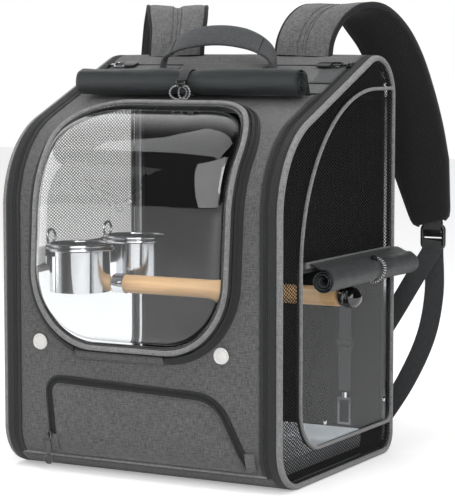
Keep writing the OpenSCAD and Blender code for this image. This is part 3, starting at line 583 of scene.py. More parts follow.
# %% Cloth finishes
def start_finish(name, roughness, **constants):
    """A material with its Principled shader and a plain roughness."""
    made = bpy.data.materials.new(name)
    made.use_nodes = True
    shader = made.node_tree.nodes["Principled BSDF"]
    feed(made.node_tree, shader, Roughness=roughness, **constants)
    return made, made.node_tree, shader


def placed_group(tree, group, vector, **values):
    """A node group in a material, fed with a vector and its own values."""
    return node(tree, "ShaderNodeGroup", node_tree=group, Vector=vector, **values).outputs


def mixed_colour(tree, factor, dark, light):
    """A colour between two, by a factor."""
    return node(tree, "ShaderNodeMix", data_type="RGBA", i0=factor, i6=(*dark, 1),
                i7=(*light, 1)).outputs[2]


def shaded(tree, colour, factor):
    """A colour times a number."""
    return node(tree, "ShaderNodeVectorMath", operation="SCALE", i0=colour, Scale=factor).outputs[0]


def bump(tree, shader, height, distance):
    """Height in metres into the shader's normal."""
    feed(tree, shader, Normal=node(tree, "ShaderNodeBump", Height=height, Distance=distance).outputs[0])


def cloth(name, dark, light, pitch, roughness=0.9, sheen=0.25, depth=0.00025, group=None, mottle=0.25):
    """Woven, ribbed or meshed cloth that follows the piece's cloth map."""
    made, tree, shader = start_finish(name, roughness, Sheen_Weight=sheen, Sheen_Roughness=0.5,
                                      Specular_IOR_Level=0.25)
    flat = node(tree, "ShaderNodeUVMap", uv_map="cloth").outputs[0]
    threads = placed_group(tree, group or WEAVE, flat, Pitch=pitch)
    place = node(tree, "ShaderNodeTexCoord").outputs["Object"]
    slow = placed_group(tree, MOTTLE, place, Scale=28.0, Amount=mottle)
    feed(tree, shader, Base_Color=shaded(tree, mixed_colour(tree, threads[0], dark, light), slow["Factor"]))
    bump(tree, shader, threads["Height"], depth)
    return made


heather = cloth("heather_cloth", (0.048, 0.048, 0.048), (0.135, 0.134, 0.133), 0.0008, depth=0.00015)
heather_light = cloth("heather_strap_cloth", (0.062, 0.062, 0.062), (0.165, 0.164, 0.162), 0.0008,
                      depth=0.00015)
piping_cloth = cloth("piping_cloth", (0.13, 0.13, 0.13), (0.28, 0.28, 0.278), 0.0007, depth=0.00015)
black_cloth = cloth("black_cloth", (0.006, 0.0065, 0.007), (0.022, 0.023, 0.025), 0.0009, roughness=0.8,
                    sheen=0.12)
lining = cloth("black_lining", (0.004, 0.004, 0.0045), (0.011, 0.011, 0.012), 0.0008, roughness=0.75,
               sheen=0.03)
slate_cloth = cloth("slate_cloth", (0.036, 0.039, 0.041), (0.080, 0.086, 0.090), 0.0007, roughness=0.75,
                    sheen=0.2)
webbing_cloth = cloth("webbing", (0.012, 0.013, 0.014), (0.055, 0.057, 0.06), 0.0013, group=RIBS,
                      depth=0.0004, roughness=0.7, sheen=0.2)
tape_cloth = cloth("zip_tape", (0.009, 0.0095, 0.01), (0.03, 0.031, 0.033), 0.0012, group=RIBS, depth=0.00025,
                   roughness=0.75, sheen=0.12)
# the second colour is painted shade in the mesh's cells, darker than its threads
padded_mesh = cloth("padded_mesh", (0.013, 0.013, 0.0135), (0.0015, 0.0015, 0.0015), 0.0028, group=AIR_MESH,
                    depth=0.0008,
                    sheen=0.1)
yarn = cloth("mesh_yarn", (0.003, 0.003, 0.0032), (0.010, 0.010, 0.011), 0.0006, roughness=0.7, sheen=0.05,
             depth=0.0001)

# coated lining of the rolled covers: a satin black-green with soft long creases
cover_cloth, tree, shader = start_finish("cover_cloth", 0.42, Sheen_Weight=0.1, Specular_IOR_Level=0.4)
flat = node(tree, "ShaderNodeUVMap", uv_map="cloth").outputs[0]
threads = placed_group(tree, WEAVE, flat, Pitch=0.0006)
creases = node(tree, "ShaderNodeTexNoise", Vector=scaled(tree, flat, 1.0, (160, 14, 1)), Scale=1.0,
               Detail=3.0)
slow = placed_group(tree, MOTTLE, flat, Scale=40.0, Amount=0.5)
colour = mixed_colour(tree, threads["Shade"], (0.0075, 0.010, 0.011), (0.016, 0.021, 0.023))
feed(tree, shader, Base_Color=shaded(tree, colour, slow["Factor"]),
     Roughness=ranged(tree, creases.outputs[0], to_min=0.34, to_max=0.52))
bump(tree, shader, math_node(tree, "ADD", math_node(tree, "MULTIPLY", threads["Height"], 0.12),
                             creases.outputs[0]), 0.0008)

# elastic cord: black with pale flecks wound round it
elastic, tree, shader = start_finish("elastic_cord", 0.7)
flat = node(tree, "ShaderNodeSeparateXYZ", Vector=node(tree, "ShaderNodeUVMap", uv_map="cloth").outputs[0])
turns = math_node(tree, "ADD", math_node(tree, "MULTIPLY", flat.outputs["Y"], 380.0),
                  math_node(tree, "MULTIPLY", flat.outputs["X"], 200.0))
flecks = math_node(tree, "GREATER_THAN", math_node(tree, "FRACT", turns), 0.62)
feed(tree, shader, Base_Color=mixed_colour(tree, flecks, (0.008, 0.008, 0.009), (0.55, 0.56, 0.57)))
bump(tree, shader, math_node(tree, "SINE", math_node(tree, "MULTIPLY", turns, 2 * math.pi)), 0.0002)
print("cloth finishes made")

# %% [markdown]
# Hard finishes. Clear plastic is a glass-like shader that lets most light through to the inside:
# for shadow rays its alpha drops, because traced glass would otherwise leave the cabin dark. The
# wood's grain is noise drawn out along the perch, and the steel has fine turned lines.

# %% Hard finishes
def clear(name, tint, roughness, thickness_bump, ior):
    """Clear plastic that lets most of the light through to what is behind it."""
    made, tree, shader = start_finish(name, roughness, Transmission_Weight=1.0, IOR=ior)
    rays = node(tree, "ShaderNodeLightPath")
    solid = math_node(tree, "SUBTRACT", 1.0,
                      math_node(tree, "MULTIPLY", rays.outputs["Is Shadow Ray"], 0.88))
    place = node(tree, "ShaderNodeTexCoord").outputs["Object"]
    slow = placed_group(tree, MOTTLE, place, Scale=9.0, Amount=0.04)
    feed(tree, shader, Alpha=solid, Base_Color=shaded(tree, (*tint,), slow["Factor"]))
    waves = node(tree, "ShaderNodeTexNoise", Vector=place, Scale=14.0, Detail=1.0)
    bump(tree, shader, waves.outputs[0], thickness_bump)
    return made


dome_clear = clear("clear_dome", (0.985, 0.99, 0.99), 0.02, 0.00005, 1.46)
# thin soft vinyl mirrors little in the photograph, so its index is set low
pane_clear = clear("clear_vinyl", (0.93, 0.95, 0.96), 0.03, 0.0006, 1.14)


def plastic(name, colour, roughness, coat=0.0, grain=0.00002, **constants):
    """Moulded plastic: even colour with a faint orange-peel and worn patches of gloss."""
    made, tree, shader = start_finish(name, roughness, Coat_Weight=coat, Coat_Roughness=0.08, **constants)
    place = node(tree, "ShaderNodeTexCoord").outputs["Object"]
    slow = placed_group(tree, MOTTLE, place, Scale=60.0, Amount=0.35)
    feed(tree, shader, Base_Color=shaded(tree, colour, slow["Factor"]),
         Roughness=math_node(tree, "MULTIPLY", slow["Factor"], roughness))
    fine = placed_group(tree, LINES, place, Scale=900.0)
    bump(tree, shader, fine["Lines"], grain)
    return made


black_plastic = plastic("black_plastic", (0.008, 0.008, 0.0085), 0.3, coat=0.3)
knob_plastic = plastic("knob_plastic", (0.004, 0.004, 0.0045), 0.08, coat=1.0, grain=0.000003)
zip_plastic = plastic("zip_nylon", (0.014, 0.0145, 0.015), 0.38)
tray_plastic = plastic("tray_plastic", (0.45, 0.47, 0.49), 0.35, coat=0.2)
board_plastic = plastic("lined_board", (0.0045, 0.0045, 0.005), 0.9, Specular_IOR_Level=0.05)
button_enamel = plastic("button_enamel", (0.62, 0.61, 0.59), 0.35, coat=0.4)


def metal(name, colour, roughness, stretch):
    """Polished metal with fine lines drawn out on the axes where stretch is small."""
    made, tree, shader = start_finish(name, roughness, Metallic=1.0)
    place = node(tree, "ShaderNodeTexCoord").outputs["Object"]
    fine = placed_group(tree, LINES, scaled(tree, place, 1.0, stretch), Scale=700.0)
    feed(tree, shader,
         Base_Color=mixed_colour(tree, fine["Lines"], tuple(0.86 * c for c in colour), colour),
         Roughness=ranged(tree, fine["Lines"], to_min=roughness * 0.6, to_max=roughness * 1.5))
    bump(tree, shader, fine["Lines"], 0.000006)
    return made


steel = metal("polished_steel", (0.62, 0.63, 0.65), 0.11, (0.04, 0.04, 1.0))
chrome = metal("chrome", (0.80, 0.81, 0.83), 0.07, (1.0, 0.2, 1.0))
dark_metal = metal("dark_metal", (0.10, 0.10, 0.105), 0.25, (1.0, 1.0, 1.0))

wood, tree, shader = start_finish("perch_wood", 0.42, Specular_IOR_Level=0.35)
place = node(tree, "ShaderNodeTexCoord").outputs["Object"]
grain = node(tree, "ShaderNodeTexNoise", Vector=scaled(tree, place, 1.0, (9, 260, 260)), Scale=1.0,
             Detail=6.0, Roughness=0.6)
pores = node(tree, "ShaderNodeTexNoise", Vector=scaled(tree, place, 1.0, (60, 1500, 1500)), Scale=1.0,
             Detail=2.0)
blotch = placed_group(tree, MOTTLE, place, Scale=22.0, Amount=0.3)
colour = mixed_colour(tree, grain.outputs[0], (0.52, 0.26, 0.09), (0.95, 0.64, 0.34))
feed(tree, shader, Base_Color=shaded(tree, colour, blotch["Factor"]))
bump(tree, shader, math_node(tree, "ADD", grain.outputs[0], pores.outputs[0]), 0.00008)
print("hard finishes made")

# %% [markdown]
# ## Rows of small things
# Zip teeth and stitches repeat hundreds of times along a path. Geometry Nodes set one small rounded
# bead on every step of the path, turned along it and standing up from the cloth. The tree is built
# once; each use gives it a path, a pitch, a size and a finish, and is then turned into plain mesh.

# %% The tree that sets beads along a path
def build_rows_tree():
    tree = bpy.data.node_groups.new("beads_along_path", "GeometryNodeTree")
    for label, kind, value in (("Geometry", "NodeSocketGeometry", None),
                               ("Pitch", "NodeSocketFloat", 0.003),
                               ("Size", "NodeSocketVector", (0.002, 0.001, 0.001)),
                               ("Finish", "NodeSocketMaterial", None)):
        socket = tree.interface.new_socket(label, in_out="INPUT", socket_type=kind)
        if value is not None:
            socket.default_value = value
    tree.interface.new_socket("Geometry", in_out="OUTPUT", socket_type="NodeSocketGeometry")
    given, gives = tree.nodes.new("NodeGroupInput").outputs, tree.nodes.new("NodeGroupOutput").inputs
    curve = node(tree, "GeometryNodeMeshToCurve", Mesh=given["Geometry"])
    steps = node(tree, "GeometryNodeResampleCurve", mode="LENGTH", Curve=curve.outputs[0],
                 Length=given["Pitch"])
    up = node(tree, "GeometryNodeInputNamedAttribute", data_type="FLOAT_VECTOR", Name="up")
    tangent = node(tree, "GeometryNodeInputTangent")
    turn = node(tree, "FunctionNodeAlignRotationToVector", axis="X", Vector=tangent.outputs[0])
    stand = node(tree, "FunctionNodeAlignRotationToVector", axis="Z", pivot_axis="X",
                 Rotation=turn.outputs[0],
                 Vector=up.outputs[0])
    bead = node(tree, "GeometryNodeMeshUVSphere", Segments=8, Rings=5, Radius=0.5)
    placed = node(tree, "GeometryNodeInstanceOnPoints", Points=steps.outputs[0], Instance=bead.outputs[0],
                  Rotation=stand.outputs[0], Scale=given["Size"])
    real = node(tree, "GeometryNodeRealizeInstances", Geometry=placed.outputs[0])
    soft = node(tree, "GeometryNodeSetShadeSmooth", Geometry=real.outputs[0])
    done = node(tree, "GeometryNodeSetMaterial", Geometry=soft.outputs[0], Material=given["Finish"])
    tree.links.new(done.outputs[0], gives["Geometry"])
    return tree


ROWS_TREE = build_rows_tree()


def beads(name, lines, pitch, size, finish, body, slot, replaces=()):
    """Beads along lines. A line is (points, ups) in mm; size is (along, across, high) in mm."""
    points, edges, ups = [], [], []
    for path, outs in lines:
        edges += [(len(points) + i, len(points) + i + 1) for i in range(len(path) - 1)]
        points += [tuple(np.array(p) * MM) for p in path]
        ups += [tuple(o) for o in (outs if np.ndim(outs) > 1 else [outs] * len(path))]
    mesh = bpy.data.meshes.new(name)
    mesh.from_pydata(points, edges, [])
    ways = mesh.attributes.new("up", "FLOAT_VECTOR", "POINT")
    ways.data.foreach_set("vector", np.array(ups, np.float32).ravel())
    made = in_scene(name, mesh)
    rows = made.modifiers.new("rows", "NODES")
    rows.node_group = ROWS_TREE
    keys = {item.name: item.identifier for item in ROWS_TREE.interface.items_tree if item.in_out == "INPUT"}
    rows[keys["Pitch"]] = pitch * MM
    rows[keys["Size"]] = [v * MM for v in size]
    rows[keys["Finish"]] = finish
    made.update_tag()
    real = bpy.data.meshes.new_from_object(made.evaluated_get(bpy.context.evaluated_depsgraph_get()))
    made.modifiers.clear()
    made.data = real
    print(name, len(real.polygons), "faces")
    return declare(made, body, slot, replaces)


STITCH, STITCH_PITCH = (2.3, 0.55, 0.5), 3.4


# %% [markdown]
# ## The shell
# The case's cloth walls are sheets laid on the side profile: the front door with its window cut
# out, the roof, the base and the back. The door is cut by triangulating its flat pattern with the
# window as a hole, so the cloth has a true edge under the window's zip.

# %% Flat patterns laid on the case
def inside(points, outline):
    """Which points are inside a closed outline."""
    x, y = points[:, 0], points[:, 1]
    result = np.zeros(len(points), bool)
    x0, y0 = outline[:, 0], outline[:, 1]
    x1, y1 = np.roll(x0, -1), np.roll(y0, -1)
    for i in range(len(outline)):
        if y0[i] != y1[i]:
            crosses = (y0[i] > y) != (y1[i] > y)
            result ^= crosses & (x < (x1[i] - x0[i]) * (y - y0[i]) / (y1[i] - y0[i]) + x0[i])
    return result


def edge_distance(points, outline):
    """Distance of each point from a closed outline."""
    best = np.full(len(points), 1e9)
    for a, b in zip(outline, np.roll(outline, -1, axis=0)):
        along = b - a
        t = np.clip((points - a) @ along / max(along @ along, 1e-9), 0, 1)
        best = np.minimum(best, np.linalg.norm(points - a - t[:, None] * along, axis=1))
    return best


def patch(outline, place, step, high, holes=()):
    """A flat pattern laid on the case. place(a, b, high) gives a point, high(a, b, edge) its height."""
    loops = [spaced(loop, step, closed=True) for loop in (outline, *holes)]
    low, top = loops[0].min(axis=0), loops[0].max(axis=0)
    field = np.array([(a, b) for a in np.arange(low[0], top[0], step)
                      for b in np.arange(low[1], top[1], step)])
    keep = inside(field, loops[0]) & (edge_distance(field, loops[0]) > step * 0.6)
    for loop in loops[1:]:
        keep &= ~inside(field, loop) & (edge_distance(field, loop) > step * 0.6)
    flat, edges = [], []
    for loop in loops:
        edges += [(len(flat) + i, len(flat) + (i + 1) % len(loop)) for i in range(len(loop))]
        flat += list(loop)
    flat += list(field[keep])
    spots, _, faces = geometry.delaunay_2d_cdt([Vector(p) for p in flat], edges, [], 0, 1e-3)[:3]
    spots = np.array([tuple(p) for p in spots])
    middles = np.array([spots[list(f)].mean(axis=0) for f in faces])
    good = inside(middles, loops[0])
    for loop in loops[1:]:
        good &= ~inside(middles, loop)
    from_edge = np.min([edge_distance(spots, loop) for loop in loops], axis=0)
    points = [place(a, b, high(a, b, d)) for (a, b), d in zip(spots, from_edge)]
    faces = [list(f) for f, ok in zip(faces, good) if ok]
    made = Shape()
    made.add(points, faces, [[tuple(spots[i] * MM) for i in f] for f in faces], [0] * len(faces),
             CASE_MIDDLE)
    return made


def on_cloth(profile, spots, high=0.0):
    """Points and outward directions for spots (x, s) on a profile."""
    return (np.array([profile.at(x, s, high) for x, s in spots]),
            np.array([[0, *profile.out(s)] for _, s in spots]))


def open_run(points, keep):
    """The kept points of a closed loop, in order from the first one after the gap."""
    first = np.flatnonzero(keep & ~np.roll(keep, 1))[0]
    turned = np.roll(np.arange(len(points)), -first)
    return points[turned[keep[turned]]]


def along_cloth(shape, profile, spots, section, loop=False, high=0.0, finish=0):
    """A section of (across, out) points carried along spots on the cloth."""
    points, outs = on_cloth(profile, spots, high)
    if loop:
        directions = np.roll(points, -1, axis=0) - np.roll(points, 1, axis=0)
    else:
        directions = np.gradient(points, axis=0)
    return shape.sweep(points, np.cross(outs, directions), section, loop=loop, finish=finish)


# the window, measured in its own plane: (x, distance up from its hinge line)
WINDOW_LOW_Z, WINDOW_TOP_Y = 132.0, -50.0
chord = np.array([WINDOW_TOP_Y, roof_z(WINDOW_TOP_Y)]) - np.array([FRONT, WINDOW_LOW_Z])
WINDOW_L, UP = np.linalg.norm(chord), unit(chord)
climb = (front.points - np.array([FRONT, WINDOW_LOW_Z])) @ UP


def window_outline(inset):
    return np.array(rounded([
        (-127 + inset, inset, 77 - inset), (109 - inset, inset, 77 - inset),
        (121 - inset, WINDOW_L - inset, 65 - inset), (-115 + inset, WINDOW_L - inset, 65 - inset)]))


def window_spots(inset, step=4.0):
    """The same outline as spots (x, s) on the front, a fixed step apart."""
    outline = spaced(window_outline(inset), step, closed=True)
    return np.column_stack([outline[:, 0], np.interp(outline[:, 1], climb, front.ends)])


def soft_wall(a, b, edge):
    """Cloth walls swell a little between their seams."""
    beyond_seam = 0 if edge < 12 else 1 - math.exp((12 - edge) / 20)
    return (0.9 + 0.5 * bumps(a, b, 70)) * (1 - math.exp(-edge / 25)) * beyond_seam


door_cut = [(-DOOR_HALF, 0), (DOOR_HALF, 0), (DOOR_HALF, front.length), (-DOOR_HALF, front.length)]
front_shell = patch(door_cut, front.at, 5.0, soft_wall, holes=[window_spots(-0.4)]).make(
    "front_shell", "front_door", "grey_fabric", [heather, lining], ["front_panel"], thick=4, lining=True)


def wall(name, profile, half, body, slot, finishes, replaces, step=7.0, swell=0.8):
    """A cloth wall laid on a profile, between -half and half across; half may change along it."""
    across = np.linspace(-1, 1, 49)
    rows = []
    for s in np.linspace(0, profile.length, round(profile.length / step) + 1):
        width = half(profile.at(0, s)) if callable(half) else half
        ends = min(s, profile.length - s)
        rows.append([profile.at(t * width, s, swell * (1 - t ** 4) * (1 - math.exp(-ends / 15))
                                * (1 + 0.6 * bumps(t * width, s, 60, 3))) for t in across])
    return Shape().grid(rows, away_from=CASE_MIDDLE).make(name, body, slot, finishes, replaces, thick=4,
                                                          lining=True)


roof_shell = wall("roof_shell", roof, lambda p: CHAIN_X if p[1] < ZIP_END_Y + 0.4 else RIM_X, "pack",
                  "grey_fabric",
                  [heather, lining], ["top_panel"], step=5)
base_shell = wall("base_shell", under, RIM_X, "pack", "grey_fabric", [heather, lining], ["base_panel"],
                  step=5, swell=0.0)
back_profile = Profile([(BACK, z) for z in np.linspace(CROWN_LOW, HEEL_R, 60)])
back_shell = wall("back_shell", back_profile, RIM_X, "pack", "black_fabric", [black_cloth, lining],
                  ["back_panel"], swell=0.5)
print("shell:", len(front_shell.data.polygons), "faces in the door")

# %% [markdown]
# Each side has a rim of black cloth round the whole outline and a grey piping where the side wall
# is sewn on. The piping is a round cord in cloth; its seam allowance lies flat under it.

# %% Rims and piping
def side_loop(inset, step=4.0):
    return spaced(side_outline(inset), step, closed=True)


def on_side(outline, x):
    return np.array([[x, y, z] for y, z in outline])


PIPING_X, PIPING_R, PIPING_INSET = 161.9, 3.0, 3.4
for side, word in SIDES:
    columns = np.linspace(RIM_X, HALF_W - 5.6, 5)
    outline = side_loop(0)
    rows = [[(side * x, y, z) for x in columns] for y, z in outline]
    Shape().grid(rows, loop=True, away_from=CASE_MIDDLE).make(
        f"{word}_rim_cloth", "pack", "black_fabric", [tape_cloth], [f"{word}_rim"], thick=4)
    edge = Shape().tube(on_side(side_loop(PIPING_INSET, 3.0), side * PIPING_X), PIPING_R, loop=True,
                        count=12)
    rows = [[(side * 158.8, y, z), (side * 161.2, y, z)] for y, z in side_loop(0.5)]
    edge.grid(rows, loop=True, away_from=CASE_MIDDLE)
    edge.make(f"{word}_edge_piping", "pack", "piping", [piping_cloth], [f"{word}_piping"])
print("rims and piping made")

# %% [markdown]
# ## Side walls
# The real wall is warp-knit mesh: two sets of slanting yarns that leave diamond openings, here 6.4 by
# 3.6 mm. The yarns are straight while the wall is stretched in its frame, so each is one thin
# closed bar, cut off where it meets the piping. That keeps real holes with few faces.

# %% Mesh walls
def inner_outline(inset):
    top = roof_z(BACK) - 58
    return rounded([(INNER_FRONT + inset, INNER_LOW + inset, 45 - inset),
                    (INNER_BACK - inset, INNER_LOW + inset, 12 - inset),
                    (INNER_BACK - inset, top - inset, 6 - inset),
                    (INNER_FRONT + inset, top - inset, 178 - inset)])


def pane_outline():
    return rounded([(INNER_FRONT, INNER_LOW, 45), (INNER_BACK, INNER_LOW, 12), (INNER_BACK, SEAM_Z, 1),
                    (INNER_FRONT, SEAM_Z, 1)])


def kept_parts(start, direction, outer, hole):
    """The stretches of a line inside one outline and outside another."""
    cuts = []
    for outline in (outer, hole):
        for a, b in zip(outline, np.roll(outline, -1, axis=0)):
            matrix = np.column_stack([direction, a - b])
            if abs(np.linalg.det(matrix)) > 1e-9:
                t, u = np.linalg.solve(matrix, a - start)
                if 0 <= u < 1:
                    cuts.append(t)
    cuts.sort()
    for t0, t1 in zip(cuts, cuts[1:]):
        middle = (start + direction * (t0 + t1) / 2)[None]
        if t1 - t0 > 1.5 and inside(middle, outer)[0] and not inside(middle, hole)[0]:
            yield start + direction * t0, start + direction * t1


CELL_W, CELL_H, YARN = 6.4, 3.6, 0.85
outer_cut, pane_cut = np.array(side_loop(4.6, 12.0)), np.array(spaced(pane_outline(), 14.0, closed=True))
yarn_lines = []
for lean in (-1, 1):
    direction = unit(np.array([CELL_W, lean * CELL_H]))
    reach = 300 * CELL_H / CELL_W
    for z in np.arange(-reach, 460 + reach, CELL_H):
        start = np.array([-150.0, z - lean * 0.5 * reach])
        yarn_lines += [(lean, a, b) for a, b in kept_parts(start, direction, outer_cut, pane_cut)]
print(len(yarn_lines), "yarns in each side wall")

TRIM_X, TRIM_R, SEAM_X, WELT_X, WELT_R = 165.1, 1.9, 163.0, 162.2, 1.7
for side, word in SIDES:
    net = Shape()
    section = oval(YARN, 0.9, 6, 1.0)
    for lean, a, b in yarn_lines:
        x = side * (SIDE_X + 1.5 + 0.35 * lean)
        net.sweep([(x, *a), (x, *b)], (0, a[1] - b[1], b[0] - a[0]), section)
    mesh_wall = net.make(f"{word}_mesh_wall", "pack", "mesh", [yarn], [f"{word}_side_panel"])
    # inner piping round the panel, the taped seam above the clear window and the window's welt
    trim = Shape().tube(on_side(spaced(inner_outline(0), 3.0, closed=True), side * TRIM_X), TRIM_R,
                        loop=True)
    seam = [(side * SEAM_X, y, SEAM_Z + 1) for y in np.linspace(INNER_FRONT + 1, INNER_BACK - 1, 12)]
    trim.sweep(seam, (0, 0, 1), oval(11, 2.6, 12, 0.4), finish=1)
    trim.tube(on_side(spaced(pane_outline(), 4.0, closed=True), side * WELT_X), WELT_R, loop=True, finish=1)
    trim.make(f"{word}_inner_trim", "pack", "piping", [piping_cloth, black_cloth], [f"{word}_inner_piping"])
print("mesh walls made")

# %% [markdown]
# ## Long zips
# A zip runs up each front edge and over the roof. Its coil is a row of small loops, here two
# staggered rows of beads on a woven tape.

# %% Zips, tapes and stitches along the front edges
TAPE_X, COIL_X, COIL_GAP = 148.2, 147.3, 1.8
DOOR_TAPE_X, DOOR_STITCH_X, RIM_STITCH_X = 143.9, 141.0, (151.6, 157.4)
for side, word in SIDES:
    spots = [(side * TAPE_X, s) for s in np.linspace(0, zip_path.length, 160)]
    tape = along_cloth(Shape(), zip_path, spots, oval(3.6, 2.4, 8, 0.4), high=-0.9)
    tape.make(f"{word}_zip_tape", "pack", "zip", [tape_cloth])
    lines = []
    for row in (0, 1):
        shift = [(side * (COIL_X + COIL_GAP * row), s)
                 for s in np.linspace(row * 1.1, zip_path.length, 260)]
        lines.append(on_cloth(zip_path, shift, 0.3))
    beads(f"{word}_zip_coil", lines, 2.2, (1.5, 2.1, 1.5), zip_plastic, "pack", "zip", [f"{word}_zip"])
door_trim = Shape()
for side in (-1, 1):
    spots = [(side * DOOR_TAPE_X, s) for s in np.linspace(0, front.length, 150)]
    along_cloth(door_trim, front, spots, oval(4.4, 1.3, 10, 0.5), high=0.5)
door_trim.make("door_edge_tape", "front_door", "black_fabric", [tape_cloth], ["door_tape"])
lines = [on_cloth(front, [(x, s) for s in np.linspace(2, front.length - 2, 200)], 1.1)
         for x in (-DOOR_STITCH_X, DOOR_STITCH_X)]
beads("door_stitches", lines, STITCH_PITCH, STITCH, zip_plastic, "front_door", "black_fabric")
for side, word in SIDES:
    outline = np.vstack([side_loop(0, 3.0), side_loop(0, 3.0)[:1]])
    lines = [([(side * x, y, z) for y, z in outline],
              [(0, *unit(np.array([y, z - 200]))) for y, z in outline])
             for x in RIM_STITCH_X]
    beads(f"{word}_rim_stitches", lines, STITCH_PITCH, STITCH, zip_plastic, "pack", "black_fabric")

# %% [markdown]
# ## The window
# The window is a door of its own and stands 12 mm proud: a zip band climbs from the front, a low
# black wall carries a round grey edge, and the clear dome is set inside it. Everything is placed by
# the window's outline, moved in or out, laid on the front's profile.

# %% Zip band, binding and hinge
TAB_LOW, TAB_HIGH = -71.0, 33.0
WINDOW_FOOT = np.array([FRONT, WINDOW_LOW_Z])
WINDOW_OUT = np.array([-UP[1], UP[0]])
stand_off = (front.points - WINDOW_FOOT) @ WINDOW_OUT


def zip_spots(inset, step=3.0):
    """Spots round the window from one end of the fabric hinge to the other."""
    spots = window_spots(inset, step)
    bottom = spots[:, 1] < front.s_of_z(WINDOW_LOW_Z + 3)
    return open_run(spots, ~(bottom & (spots[:, 0] > TAB_LOW - 2) & (spots[:, 0] < TAB_HIGH + 2)))


def limited(spots, most):
    """Keeps spots clear of the tape along the door's edge."""
    return np.column_stack([np.clip(spots[:, 0], -most, most), spots[:, 1]])


# the band is a fold of cloth: low where it is sewn to the front, high beside the window's edge
band = along_cloth(Shape(), front, limited(zip_spots(-4.2), 137.6), [
    (-3.9, -0.4), (3.7, -0.4), (3.8, 5.0), (3.2, 6.2), (1.9, 6.3), (1.1, 4.6), (-0.4, 3.3), (-2.4, 2.2),
    (-3.9, 0.9)])
band.make("window_zip_band", "front_door", "black_fabric", [tape_cloth], ["window_zip"])
coil_lines = [on_cloth(front, limited(zip_spots(-4.4 + shift), 137.4 - shift), 3.6 + shift)
              for shift in (-0.7, 0.7)]
beads("window_zip_coil", coil_lines, 1.9, (1.3, 1.8, 1.1), zip_plastic, "front_door", "zip")

binding = along_cloth(Shape(), front, window_spots(4.0, 3.0), oval(5.4, 4.8, 14, 0.9), loop=True, high=9.4)
binding = along_cloth(binding, front, window_spots(1.8, 3.0), oval(2.4, 11.0, 14, 0.5), loop=True, high=3.8,
                      finish=1)
binding = along_cloth(binding, front, window_spots(7.6, 3.0), oval(4.2, 2.6, 10, 0.6), loop=True, high=7.6,
                      finish=1)
binding.make("window_binding", "window_door", "black_fabric", [piping_cloth, black_cloth], ["window_frame"])

# the fabric hinge leans from the front up to the window's edge
TAB_Y, TAB_Z, TAB_SLOPE = -140.2, 127.1, 0.42
tab = Shape().sweep([(x, TAB_Y, TAB_Z) for x in np.linspace(TAB_LOW, TAB_HIGH, 40)], (0, 0, 1),
                    lambda i: [(a, b + TAB_SLOPE * a + 0.4 * bumps(i * 3.0, a * 2, 9))
                               for a, b in oval(8.8, 3.0, 16, 0.4)])
tab.make("window_hinge_cloth", "front_door", "grey_fabric", [heather], ["window_hinge_tab"])
lines = [([(x, TAB_Y - 1.6 - (z - TAB_Z) * TAB_SLOPE, z)
           for x in np.linspace(TAB_LOW + 2, TAB_HIGH - 2, 50)], (0, -1, 0.4))
         for z in (124.2, 130.0)]
beads("hinge_stitches", lines, STITCH_PITCH, STITCH, zip_plastic, "front_door", "grey_fabric")

# %% [markdown]
# The dome is one clear shell 1.6 mm thick. It rises steeply from its flange and levels off, by the
# same rule as in the CAD source, with finer rings. A thin flange round it catches the light.

# %% Dome
DOME_SEAT, DOME_RISE, DOME_T, DOME_POWER = 8.0, 20.0, 1.6, 3
dome_edge = spaced(window_outline(9.0), 5.0, closed=True)
dome_middle = np.array([-3, WINDOW_L / 2])


def dome_point(spot, share, sink):
    x, a = dome_middle + (spot - dome_middle) * share
    rise = DOME_RISE * (1 - min(share, 1) ** DOME_POWER) ** (1 / DOME_POWER)
    off = np.interp(a, climb, stand_off) + DOME_SEAT + rise - sink
    y, z = WINDOW_FOOT + UP * a + WINDOW_OUT * off
    return (x, y, z)


# shares close together at the rim, where the rise is steep
shares = [1 - 0.985 * (k / 22) ** 2.2 for k in range(23)]
dome = Shape().grid([[dome_point(p, s, sink) for p in dome_edge]
                     for s, sink in [(s, 0) for s in shares] + [(s, DOME_T) for s in shares[::-1]]],
                    ring=True, loop=True)
# the small holes left in the middle are closed with a fan
for sink in (0, DOME_T):
    ring = [dome_point(p, shares[-1], sink) for p in dome_edge]
    centre = tuple(np.mean(ring, axis=0))
    n = len(ring)
    faces = [(i, (i + 1) % n, n) for i in range(n)]
    dome.add([*ring, centre], faces, [[(0, 0)] * 3] * n, [0] * n,
             CASE_MIDDLE if sink == 0 else np.array([0, -1000.0, 300.0]))
dome.make("clear_dome_shell", "window_door", "clear_dome", [dome_clear], ["window_dome"])
flange = along_cloth(Shape(), front, window_spots(8.2, 3.0), oval(2.6, 1.6, 10, 0.7), loop=True, high=9.4)
flange.make("dome_flange", "window_door", "clear_dome", [dome_clear])
print("window made")

# %% [markdown]
# ## Pocket, buttons and small parts on the door
# The pocket is a cloth panel that bulges between its zip and its bottom seam. The buttons are plain
# enamelled snaps in a steel ring.

# %% Pocket
POCKET_LOW, POCKET_HALF = 22.0, 141.6


def pocket_outline(inset):
    shape = np.array(rounded([(-104 + inset, 14 + inset, 6), (137 - inset, 14 + inset, 6),
                              (97 - inset, 98 - inset, 45 - inset),
                              (-112 + inset, 104 - inset, 18 - inset)]))
    shape[:, 1] = np.maximum(shape[:, 1], POCKET_LOW)
    shape[:, 0] = np.minimum(shape[:, 0], POCKET_HALF - inset * 0.4)
    return shape


def on_front_z(a, b, high):
    return front.at(a, front.s_of_z(b), high)


def pocket_swell(a, b, edge):
    rise = 1 - math.exp(-edge / 11)
    creases = 1.1 * bumps(a * 0.8 + b * 0.5, b, 24, 5) + 0.5 * bumps(a, b * 1.6, 9, 6)
    return 1.6 + 4.6 * rise * (1 - 0.25 * abs(a / 120) ** 2) + creases * rise


